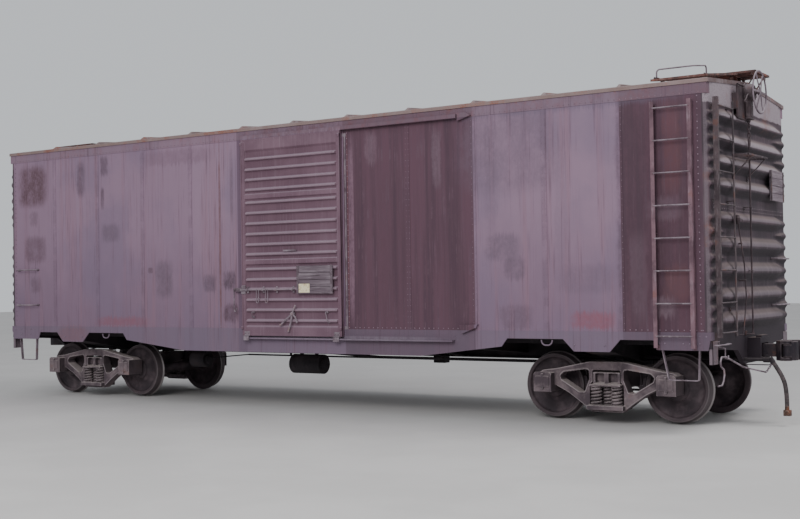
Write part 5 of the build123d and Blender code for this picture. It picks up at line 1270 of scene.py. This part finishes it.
# Castings, rounded as the sand leaves them
castings = (  # node, body, finish, voxel, smoothing rounds, share of faces kept, slot
    ("truck_{}_side_frames", "truck_{}", "castSteelTruck", 0.0065, 4, 0.18, "cast_steel"),
    ("truck_{}_bolster", "truck_{}", "castSteelTruck", 0.008, 5, 0.22, "cast_steel"),
    ("truck_{}_journal_lids", "truck_{}", "castSteelTruck", 0.0035, 3, 0.28, "cast_steel"),
    ("coupler_{}", "coupler_{}", "couplerSteel", 0.005, 5, 0.38, "coupler_steel"),
    ("knuckle_{}", "knuckle_{}", "couplerSteel", 0.004, 4, 0.6, "coupler_steel"),
    ("glad_hand_{}", "carbody", "malleableIron", 0.0022, 3, 0.5, "glad_hand_iron"),
)
for node, body, finish, voxel, rounds, share, slot in castings:
    for end in "ab":
        castPiece(node.format(end), body.format(end), finish, voxel, rounds, share)
print("castings made")

ahead = (1, 0, 0)  # out of the end that the hand brake is on
up = (0, 0, 1)

# Ladders: stiles of angle and flat bar, round rungs rivetted through them, and bent stand-offs
ladders = {
    "side": {
        "axis": 1, "along": (5.545, 6.005), "out": 1.572, "z": (0.995, 3.925),
        "feet": ((1.025, sillFace), (2.355, wallFace), (3.885, wallFace)),  # height, the wall behind
        "foot": 0.055, "standOff": 1.572,
        "rungs": [1.131 + 0.388 * k for k in range(8)], "rungOut": 1.575, "headOut": 1.580},
    "end": {
        "axis": 0, "along": (-1.370, -0.840), "out": 6.290, "z": (1.113, 3.945),
        "feet": ((1.450, endFace), (2.740, endFace), (3.858, endFace)),
        "foot": 0.050, "standOff": 6.282,
        "rungs": [1.166] + [1.131 + 0.388 * k for k in range(1, 8)], "rungOut": 6.287, "headOut": 6.290},
}
rungBar, rungPast = 0.0095, 0.006  # radius, and how far a rung goes through its stiles
sideAngle = np.array([(-25, -46), (-17.5, -46), (-17, -4), (-13, -0.5), (24, 0), (25, 1.5), (25, 6.5),
                      (23.5, 8), (-23.5, 8), (-25, 6.5)]) / 1000  # across the stile and outward
endAngle = np.array([(-25, -60), (-17.5, -60), (-17, -12), (-13, -8.5), (24, -8), (25, -6.5), (25, -1.5),
                     (23.5, 0), (-23.5, 0), (-25, -1.5)]) / 1000
stiles = {"side": (sideAngle, sideAngle[::-1] * (-1, 1)),
          "end": (endAngle, flatBar(0.050, 0.008) - (0, 0.004))}


def wallBlock(axis, along, out, z, edge=0.002):
    # A block between two places along a wall, two distances out of it and two heights
    return softBlock(onWall(axis, along[0], out[0], z[0]), onWall(axis, along[1], out[1], z[1]), edge)


def makeLadder(name):
    # Two stiles; at each foot a strap, a lug bent down the wall and a bolt; rivet heads and rungs
    look = ladders[name]
    axis, (left, right), (low, high) = look["axis"], look["along"], look["z"]
    out = outOf(axis)
    shapes = []
    for along, profile in zip(look["along"], stiles[name]):
        path = [onWall(axis, along, look["out"], z) for z in (low, high)]
        shapes.append(carried(profile, path, out))
        width = (along - 0.022, along + 0.022)
        for z, wall in look["feet"]:
            bolt = onWall(axis, along, wall + 0.008, z - look["foot"] * 0.55)
            shapes += [wallBlock(axis, width, (wall, look["standOff"]), (z - 0.004, z + 0.004), 0.0015),
                       wallBlock(axis, width, (wall, wall + 0.008), (z - look["foot"], z + 0.004), 0.0015),
                       boltRow([bolt], out, 0.020, 0.010)]
        heads = [onWall(axis, along, look["headOut"], z) for z in look["rungs"]]
        shapes.append(headRow(heads, out, 0.013, 0.007, 10))
    rungs = [roundBar([onWall(axis, left - rungPast, look["rungOut"], z),
                       onWall(axis, right + rungPast, look["rungOut"], z)], rungBar, out, count=12)
             for z in look["rungs"]]
    return bothWays(shapes), bothWays(rungs)


shapes, rungs = makeLadder("side")
addPiece("side_ladders", "carbody", "wornEnamelBar", shapes, ["ladders"])
addPiece("side_rungs", "carbody", "handWornSteel", rungs)
shapes, rungs = makeLadder("end")
addPiece("end_ladders", "carbody", "forgedIron", shapes + rungs, ["ladders"])

# Grab irons and sill steps: bar bent cold, its feet flattened and bolted
grab = {
    "bar": 0.0095, "bend": 0.024,
    "irons": (  # axis of the wall, places along it, the wall, distance out, height, with lugs or not
        (1, -6.015, -5.505, wallFace, 1.565, 2.135, True), (1, -6.015, -5.505, wallFace, 1.565, 1.540, True),
        (0, 0.840, 1.365, endFace, 6.290, 1.449, True), (0, 0.840, 1.365, endFace, 6.290, 2.060, True),
        (0, -1.425, -0.975, endFace, 6.258, 1.024, False)),
    "roofX": (5.560, 6.020), "roofY": (-1.420, -0.980), "roofRise": 0.109, "roofBend": 0.040,
    "steps": (((5.565, 6.052), (5.655, 6.037)), ((-6.030, -5.600), (-5.990, -5.619))),
    "stepY": -1.462, "stepLow": 0.604, "stepTop": 1.035, "stepBar": (0.012, 0.050), "stepBend": 0.026,
}
roofPad = (  # a flattened foot on the roof walk's side board
    (block, -0.030, 0.030, -0.030, 0.030, -0.002, 0.010, 0.003),
    (boltRow, [(-0.019, -0.019, 0.010), (-0.019, 0.019, 0.010)], up, 0.016))


def grabLug(axis, along, wall, z, step):
    # It lies on the wall, runs away from the bar and holds one bolt
    return [wallBlock(axis, (along - step * 0.010, along + step * 0.046), (wall, wall + 0.009),
                      (z - 0.015, z + 0.015), 0.003),
            boltRow([onWall(axis, along + step * 0.028, wall + 0.009, z)], outOf(axis), 0.019, 0.010)]


def lateralTop(y):
    # Top of the roof walk's side board, straight from its foot at the eave up to the middle board
    return 4.213 + (y + 1.470) / 1.200 * 0.1703


def makeGrabs():
    # Each iron goes out from the wall, along it and back; a step's bar goes down, along and up
    look = grab
    shapes, feet = [], []
    for axis, a0, a1, wall, out, z, lugs in look["irons"]:
        path = [onWall(axis, *spot, z) for spot in ((a0, wall), (a0, out), (a1, out), (a1, wall))]
        shapes.append(roundBar(path, look["bar"], up, look["bend"], 12, 6))
        if lugs:
            feet += grabLug(axis, a0, wall, z, 1) + grabLug(axis, a1, wall, z, -1)
    (x0, x1), (y0, y1) = look["roofX"], look["roofY"]
    low0, low1 = lateralTop(y0), lateralTop(y1)
    top0, top1 = low0 + look["roofRise"], low1 + look["roofRise"]
    path = [(x0, y0, low0), (x0, y0, top0), (x1, y0, top0), (x1, y1, top1), (x1, y1, low1)]
    shapes.append(roundBar(path, look["bar"], (0.3, 0.4, 0.87), look["roofBend"], 12, 6))
    feet += built(roofPad, (x0, y0, low0)) + built(roofPad, (x1, y1, low1))
    addPiece("grab_lugs", "carbody", "forgedIron", bothWays(feet))
    addPiece("bent_grab_irons", "carbody", "handWornSteel", bothWays(shapes), ["grab_irons"])
    thick, wide = look["stepBar"]
    half, y, top = thick / 2, look["stepY"], look["stepTop"]
    low = look["stepLow"] + half
    paths = [[(t0 + half, y, top), (f0 + half, y, low), (f1 - half, y, low), (t1 - half, y, top)]
             for (t0, t1), (f0, f1) in look["steps"]]
    steps = [strap(bent(path, look["stepBend"], 6), thick, wide, near, 0.002) for path in paths]
    addPiece("bent_sill_steps", "carbody", "handWornSteel", bothWays(steps), ["sill_steps"])


makeGrabs()
print("ladders, grabs and steps bent")

# Roof walk: what is left of it at each end, open grating of strips on edge with rods across, in a
# frame of flat bar, on saddles that straddle the ridge
walk = {
    "x": (5.500, 6.400), "y": (-0.290, 0.290), "top": 4.396, "deep": 0.028, "strip": 0.0035, "frame": 0.006,
    "pitch": 0.032, "rodPitch": 0.050, "rod": 0.0035,
    "sideX": (5.500, 6.180), "sideY": (-1.470, -0.270),
    "saddles": (5.620, 6.080), "legs": (-0.235, -0.080, 0.080, 0.235), "feet": (-1.380, -0.820),
    # Brace from the gable up to the outer end of the middle board, its feet flattened and bolted
    "brace": ((6.209, 4.085), (6.209, 4.130), (6.362, 4.362), (6.300, 4.362)), "braceY": (-0.180, 0.180),
    "bearers": (  # under the middle board: one across its end and two along it
        (6.345, 6.351, -0.290, 0.290, 4.334, 4.372, 0.001),
        (5.500, 6.395, -0.168, -0.132, 4.363, 4.369, 0.001),
        (5.500, 6.395, 0.132, 0.168, 4.363, 4.369, 0.001)),
}


def grating(lowX, highX, lowY, highY, top, deep, alongX):
    # Strips on edge along one way, rods across them near the top, inside a frame
    look = walk
    spans = (lowX, highX), (lowY, highY)
    (longLow, longHigh), (wideLow, wideHigh) = spans if alongX else spans[::-1]
    strips = np.linspace(wideLow, wideHigh, int((wideHigh - wideLow) / look["pitch"]) + 1)[1:-1]
    rods = np.linspace(longLow, longHigh, int((longHigh - longLow) / look["rodPitch"]) + 1)[1:-1]
    f, s, r = look["frame"], look["strip"] / 2, look["rod"]
    rows = [(longLow, longHigh, b, b + f, -deep, 0.0) for b in (wideLow, wideHigh - f)]
    rows += [(a, a + f, wideLow, wideHigh, -deep, 0.0) for a in (longLow, longHigh - f)]
    rows += [(longLow + 0.002, longHigh - 0.002, b - s, b + s, 0.004 - deep, -0.001) for b in strips]
    rows += [(a - r, a + r, wideLow + 0.002, wideHigh - 0.002, -0.008, -0.0015) for a in rods]
    if not alongX:
        rows = [(b0, b1, a0, a1, z0, z1) for a0, a1, b0, b1, z0, z1 in rows]
    return built([(block, *row, 0.001) for row in rows], (0, 0, top))


def makeRoofWalk():
    # The middle board lies level. The side board's points are lifted to the line that it slopes along.
    look = walk
    top, deep = look["top"], look["deep"]
    under = top - deep
    (lowY, highY), shapes = look["y"], grating(*look["x"], *look["y"], top, deep, True)
    for points, faces in grating(*look["sideX"], *look["sideY"], 0.0, deep, False):
        shapes.append((points + lateralTop(points[:, 1:2]) * up, faces))
    for x in look["saddles"]:
        for y in look["legs"]:
            low, inward = roofUnder(y) + 0.064, -np.sign(y)
            leg = [(x, y + 0.045 * inward, low), (x, y, low),
                   (x, y, under - 0.003), (x, y + 0.040 * inward, under - 0.003)]
            bolt = (x, y + 0.030 * inward, low + 0.003)
            shapes += [strap(leg, 0.006, 0.040, ahead), boltRow([bolt], up, 0.018)]
        shapes.append(block(x - 0.020, x + 0.020, lowY + 0.008, highY - 0.008, under - 0.006, under))
        for y in look["feet"]:
            low, high = roofUnder(y) + 0.060, lateralTop(y) - deep
            shapes += [block(x - 0.020, x + 0.020, y - 0.030, y + 0.030, low, low + 0.007),
                       block(x - 0.020, x + 0.020, y - 0.004, y + 0.004, low, high + 0.006, 0.001),
                       boltRow([(x, y - 0.020, low + 0.007), (x, y + 0.020, low + 0.007)], up, 0.016)]
    for y in look["braceY"]:
        shapes += [strap([(x, y, z) for x, z in look["brace"]], 0.008, 0.038, (0, 1, 0)),
                   boltRow([(6.213, y, 4.105)], ahead, 0.020, 0.010)]
    shapes += [block(*row) for row in look["bearers"]]
    addPiece("grated_roof_walk", "carbody", "rustedGrating", bothWays(shapes), ["running_boards"])


makeRoofWalk()
print("roof walk laid")

# Hand brake. The housing's rows are measured from its plate's face at the wheel's axis, the rod's
# from the rod at the rail, and the valve's from where its pipe starts.
brakeAxis = (6.281, -0.297, 4.107)
brakeHousing = (
    (block, -0.016, 0.0, -0.343, 0.127, -0.342, 0.088, 0.004),  # backing plate and the ribs round its rim
    (block, -0.002, 0.010, -0.343, 0.127, -0.342, -0.330),
    (block, -0.002, 0.010, -0.343, 0.127, 0.076, 0.088),
    (block, -0.002, 0.010, -0.343, -0.331, -0.342, 0.088),
    (block, -0.002, 0.010, 0.115, 0.127, -0.342, 0.088),
    (boltRow, [(0, y, z) for y in (-0.303, -0.108, 0.097) for z in (-0.307, 0.053)], ahead, 0.026, 0.016),
    (block, -0.075, -0.014, -0.323, -0.283, -0.222, -0.022),  # its two feet on the wall
    (block, -0.075, -0.014, 0.067, 0.107, -0.222, -0.022),
    # Case: a drum with a rounded front, a bead at its joint and a domed cover with six bolts
    (turnedShape, [(-0.003, 0.130), (0.012, 0.130), (0.016, 0.118), (0.060, 0.116), (0.084, 0.110),
                   (0.098, 0.102), (0.107, 0.084), (0.110, 0.058), (0.104, 0.054), (0.104, 0.050),
                   (0.114, 0.046), (0.118, 0.034)], (0, 0, 0), 0),
    (boltRow, np.insert(0.078 * np.stack(circle(6, 0.4), 1), 0, 0.107, 1), ahead, 0.016, 0.009),
    # Chute down to the chain's mouth, and the trip lever at its side
    (block, -0.002, 0.070, -0.062, 0.062, -0.328, -0.060, 0.016),
    (block, 0.060, 0.076, -0.040, 0.040, -0.302, -0.152, 0.006),
    (block, -0.002, 0.074, -0.074, 0.074, -0.332, -0.310, 0.004),
    (roundBar, [(0.060, -0.090, -0.020), (0.072, -0.190, -0.060), (0.072, -0.260, -0.130)], 0.009, ahead,
     0.05, 8),
    (turnedShape, [(0.062, 0.012), (0.064, 0.018), (0.080, 0.018), (0.082, 0.012)],
     (0, -0.260, -0.130), 0, 12),
    (turnedShape, [(0.106, 0.026), (0.130, 0.024), (0.132, 0.0195), (0.175, 0.0195)], (0, 0, 0), 0, 20),
)
brakeWheel = {
    "x": 0.171, "radius": 0.262, "rim": (0.013, 0.010), "steps": 72,  # the rim's half depth and half width
    "spokes": 6, "spoke": ((0.030, 0.010), (0.080, 0.006), (0.180, -0.002), (0.258, 0.0)),  # reach, forward
    "spokeBar": (0.026, 0.011), "nut": (0.017, 0.036, 0.003),
    "hub": [(-0.018, 0.034), (-0.014, 0.040), (0.010, 0.042), (0.016, 0.036), (0.018, 0.024)],
}
rodFoot = (6.296, -0.262, 1.115)
brakeRod = (
    (roundBar, [(0, 0, 0), (0, 0, 2.365)], 0.011, ahead, 0.02, 12),
    (block, -0.013, 0.013, -0.018, -0.010, 2.340, 2.425), (block, -0.013, 0.013, 0.010, 0.018, 2.340, 2.425),
    (turnedShape, [(-0.022, 0.006), (-0.021, 0.009), (0.021, 0.009), (0.022, 0.006)], (0, 0, 2.411), 1, 10),
    (block, -0.096, 0.014, -0.028, 0.028, -0.008, 0.004),
    (block, -0.096, -0.088, -0.028, 0.028, -0.020, 0.040),
    (boltRow, [(-0.088, -0.014, 0.025), (-0.088, 0.014, 0.025)], ahead, 0.016),
    (turnedShape, [(0.002, 0.019), (0.018, 0.019)], (0, 0, 0), 2, 6),
)
rodGuide = (
    (block, -0.090, 0.022, -0.022, 0.022, -0.004, 0.004),
    (block, -0.096, -0.086, -0.022, 0.022, -0.045, 0.004),
    (boltRow, [(-0.086, 0, -0.025)], ahead, 0.017))
rodGuides = (2.690, 1.900)
brakeChain = {"z": (3.520, 3.795), "length": 0.062, "wire": 0.0068}
pipePoints = ((-0.754, 2.490), (-0.545, 1.969), (-0.492, 1.551), (-0.640, 1.115))
pipeClips = ((-0.640, 2.230), (-0.520, 1.780))
retainer = (
    (turnedShape, [(-0.028, 0.012), (-0.022, 0.019), (0.004, 0.019), (0.010, 0.027), (0.050, 0.029),
                   (0.062, 0.022), (0.080, 0.020), (0.090, 0.010)], (0, 0, 0), 2, 18),
    (roundBar, [(0.004, 0, 0.030), (0.052, 0, 0.034), (0.060, 0, -0.010)], 0.005, (0, 1, 0), 0.012, 8),
    (block, -0.036, -0.026, -0.038, 0.038, -0.030, 0.090), (block, -0.028, -0.014, -0.014, 0.014, 0.0, 0.050),
    (boltRow, [(-0.026, y, z) for y in (-0.028, 0.028) for z in (-0.018, 0.078)], ahead, 0.015))
pipeFoot = (
    (block, -0.096, 0.004, -0.020, 0.020, 0.0, 0.008), (block, -0.096, -0.088, -0.020, 0.020, 0.0, 0.040))
pipeClip = ((block, -0.076, 0.010, -0.014, 0.014, -0.010, 0.010, 0.003),)
brakeStep = {
    "x": (6.254, 6.460), "y": (-0.805, -0.040), "top": 3.315, "deep": 0.022, "arms": (-0.630, -0.100),
    "rodGap": 0.024}
stepArm = (  # from the wall at the height of the step's underside
    (strap, [(0.004, 0, -0.300), (0.004, 0, -0.238), (0.240, 0, -0.004), (0.180, 0, -0.004)],
     0.008, 0.036, (0, 1, 0)),
    (boltRow, [(0.008, 0, -0.285), (0.008, 0, -0.255)], ahead, 0.020, 0.012),
    (block, 0.0, 0.074, -0.019, 0.019, -0.004, 0.006), (block, 0.0, 0.008, -0.019, 0.019, -0.050, 0.004))


def chainLinks(start, end, length, wire, axisA, axisB):
    # Oval links one after another down a straight run, every second one turned a quarter
    start, end = np.asarray(start, float), np.asarray(end, float)
    far = np.linalg.norm(end - start)
    step = (end - start) / far
    count = max(int(far / (length * 0.72)), 1)
    across, along = circle(14)
    shapes = []
    for k in range(count):
        wide = np.asarray(axisA if k % 2 else axisB, float)
        path = (start + step * (k + 0.5) * far / count + along[:, None] * step * length / 2
                + across[:, None] * wide * length * 0.30)
        shapes.append(carried(ring(wire, 7), path, np.cross(step, wide), True))
    return shapes


def makeHandBrake():
    # Housing, wheel with an oval rim and dished spokes, rod and chain, retaining valve and its pipe,
    # and the step, whose grating leaves out the strip that the rod passes
    addPiece("geared_brake_housing", "carbody", "forgedIron", built(brakeHousing, brakeAxis),
             ["brake_housing"])
    look = brakeWheel
    cos, sin = circle(look["steps"])
    deep, wide = look["rim"]
    path = np.stack([0 * cos, look["radius"] * cos, look["radius"] * sin], 1)
    wheel = [carried(ring(deep, 12, wide / deep), path, ahead, True),
             turnedShape(look["hub"], (0, 0, 0), 0, 24)]
    for c, s in zip(*circle(look["spokes"])):
        spoke = [(forward, reach * c, reach * s) for reach, forward in look["spoke"]]
        wheel.append(strap(spoke, *look["spokeBar"], ahead, 0.003))
    forward, across, height = look["nut"]
    wheel.append(boltRow([(forward, 0, 0)], ahead, across, height))
    wheel = [(points + brakeAxis + (look["x"], 0, 0), faces) for points, faces in wheel]
    addPiece("spoked_brake_wheel", "carbody", "handWornSteel", wheel, ["brake_wheel"])

    x, y, _ = rodFoot
    rods = built(brakeRod, rodFoot)
    low, high = brakeChain["z"]
    rods += chainLinks((x, y, low), (x, y, high), brakeChain["length"], brakeChain["wire"], ahead, (0, 1, 0))
    for z in rodGuides:
        rods += built(rodGuide, (x, y, z))
    rods.append(roundBar([(x, *spot) for spot in pipePoints], 0.008, ahead, 0.300, 10, 7))
    rods += built(retainer, (x, *pipePoints[0])) + built(pipeFoot, (x, *pipePoints[-1]))
    for spot in pipeClips:
        rods += built(pipeClip, (x, *spot))
    addPiece("brake_rod_and_pipe", "carbody", "forgedIron", rods, ["brake_rods"])

    look = brakeStep
    step = grating(*look["x"], *look["y"], look["top"], look["deep"], False)
    step = [shape for shape in step if np.abs(shape[0][:, 1] - y).max() >= look["rodGap"]]
    for armY in look["arms"]:
        step += built(stepArm, (endFace, armY, look["top"] - look["deep"]))
    addPiece("grated_brake_step", "carbody", "forgedIron", step, ["brake_step"])


makeHandBrake()

# Uncoupling levers, along the foot of each end from a handle at the side to the coupler's lock
lever = {
    "x": 6.300, "bar": 0.0105, "bend": 0.022,
    "path": ((-0.020, -1.530, 0.560), (0.000, -1.455, 0.565), (0.000, -1.400, 0.612), (0.000, -1.366, 0.686),
             (0.000, -1.380, 0.742), (0.000, -1.478, 0.785), (0.000, -1.500, 0.835), (0.000, -1.455, 0.893),
             (0.000, -1.290, 0.884), (0.000, -0.676, 0.728),
             (0.160, -0.310, 0.645)),  # x is past the lever's plane
    "bracket": (6.200, -1.270, 0.879),  # the wall, across the car, and the lever's height there
    "chain": (0.050, 0.110, 0.110),
}
leverBracket = (
    (block, 0.0, 0.008, -0.022, 0.022, 0.111, 0.191),
    (strap, [(0.004, 0, 0.121), (0.082, 0, 0.106), (0.082, 0, -0.014), (0.118, 0, -0.016), (0.118, 0, 0.025)],
     0.007, 0.030, (0, 1, 0)),
    (boltRow, [(0.008, 0, 0.181), (0.008, 0, 0.161)], ahead, 0.018))


def makeUncoupling():
    # The bent bar, its bracket on the end sill, and a chain from the bar's end to the coupler
    look = lever
    path = [(look["x"] + past, y, z) for past, y, z in look["path"]]
    shapes = [roundBar(path, look["bar"], ahead, look["bend"], 12, 6)] + built(leverBracket, look["bracket"])
    shapes += chainLinks(path[-1], np.add(path[-1], look["chain"]), 0.040, 0.005, up, ahead)
    addPiece("bent_uncoupling_levers", "carbody", "handWornSteel", bothWays(shapes), ["uncoupling_levers"])


makeUncoupling()
print("brake gear and levers made")


# Air hoses: the route's points as in the solid model, in metres, from the cock to the glad hand
hose = {
    "points": ((6.560, -0.330, 0.765), (6.667, -0.330, 0.612),
               (6.715, -0.330, 0.431), (6.715, -0.330, 0.244)),
    "length": 0.558,
    "diameter": 0.054,
}


def makeHose(end, sign):
    # One open curve through the points, with a round section of the hose's diameter
    points = [(x * sign, y * sign, z) for x, y, z in hose["points"]]
    curve = bpy.data.curves.new("air_hose_" + end, "CURVE")
    curve.dimensions = "3D"
    line = curve.splines.new("NURBS")
    line.points.add(len(points) - 1)
    line.points.foreach_set("co", [value for point in points for value in (*point, 1.0)])
    line.order_u = 3
    line.use_endpoint_u = True
    line.resolution_u = 16
    curve.bevel_depth = hose["diameter"] / 2
    curve.bevel_resolution = 6
    curve.use_fill_caps = True
    curve.materials.append(bpy.data.materials["wrappedRubber"])
    tube = linkObject("rubber_hose_" + end, curve)
    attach(tube, "carbody")
    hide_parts("air_hose_" + end)


makeHose("b", 1)
makeHose("a", -1)

# The finish of every node of the solid model that is still to be seen
finishes = {
    "weatheredEnamelSide": ("side_panels_near", "side_panels_far", "side_plates", "side_sills",
                            "corner_posts", "door_tracks", "door_posts"),
    "weatheredEnamelDoor": ("door_near", "door_far"),
    "sootedEnamelEnd": ("end_panels_lower", "end_panels_upper", "end_sills"),
    "wornEnamelBar": ("ladders",),
    "handWornSteel": ("grab_irons", "sill_steps", "uncoupling_levers", "brake_wheel"),
    "forgedIron": ("brake_housing", "brake_rods", "brake_step"),
    "galvanisedRoof": ("roof",),
    "rustedGrating": ("running_boards",),
    "silveredOak": ("floor", "door_near_tack_board", "door_far_tack_board", "end_tack_boards"),
    "underframeCement": ("air_brake_units", "body_bolsters", "center_sill", "crossbearers", "floor_stringers",
                         "train_line", "underframe_rods"),
    "castSteelTruck": tuple(f"truck_{e}_{part}" for e in "ab"
                            for part in ("bolster", "side_frames", "brake_gear", "journal_lids")),
    "springSteel": ("truck_a_springs", "truck_b_springs"),
    "rolledWheelSteel": tuple(f"wheelset_{e}_{n}" for e in "ab" for n in ("inner", "outer")),
    "couplerSteel": ("coupler_a", "coupler_b", "knuckle_a", "knuckle_b"),
    "malleableIron": ("glad_hand_a", "glad_hand_b"),
    "wrappedRubber": ("air_hose_a", "air_hose_b"),
}
for finish, names in finishes.items():
    for name in names:
        nodes[name].data.materials.clear()
        nodes[name].data.materials.append(bpy.data.materials[finish])
print("finishes put on", sum(map(len, finishes.values())), "nodes")

# Pale floor, and a bright overcast sky with one broad light from high on the near side's left
studio = {
    "floorHalf": 70.0,
    "sky": "#e9edf2", "skyStrength": 0.80,
    "key": {"place": (5.5, -19.0, 11.0), "aim": (0.0, 0.0, 2.0), "size": 11.0, "watts": 1900.0},
    "fill": {"place": (12.0, 2.0, 14.0), "aim": (6.2, 0.0, 2.5), "size": 6.0, "watts": 1000.0},
}


def makeFloor():
    # One square at height 0
    half = studio["floorHalf"]
    mesh = bpy.data.meshes.new("studio_floor")
    corners = [(-half, -half, 0), (half, -half, 0), (half, half, 0), (-half, half, 0)]
    mesh.from_pydata(corners, [], [(0, 1, 2, 3)])
    mesh.materials.append(bpy.data.materials["smoothConcrete"])
    linkObject("studio_floor", mesh)


def makeLight(name):
    # A round area light whose own downward axis is turned from its place to its aim
    look = studio[name]
    lamp = bpy.data.lights.new(name, "AREA")
    lamp.shape, lamp.size, lamp.energy = "DISK", look["size"], look["watts"]
    aim = Vector(look["aim"]) - Vector(look["place"])
    turned = aim.to_track_quat("-Z", "Y").to_matrix().to_4x4()
    linkObject(name, lamp).matrix_world = Matrix.Translation(look["place"]) @ turned


makeFloor()
makeLight("key")
makeLight("fill")
world = bpy.data.worlds.new("overcast")
world.use_nodes = True
sky = world.node_tree.nodes["Background"]
sky.inputs["Color"].default_value = linear(studio["sky"])
sky.inputs["Strength"].default_value = studio["skyStrength"]
bpy.context.scene.world = world
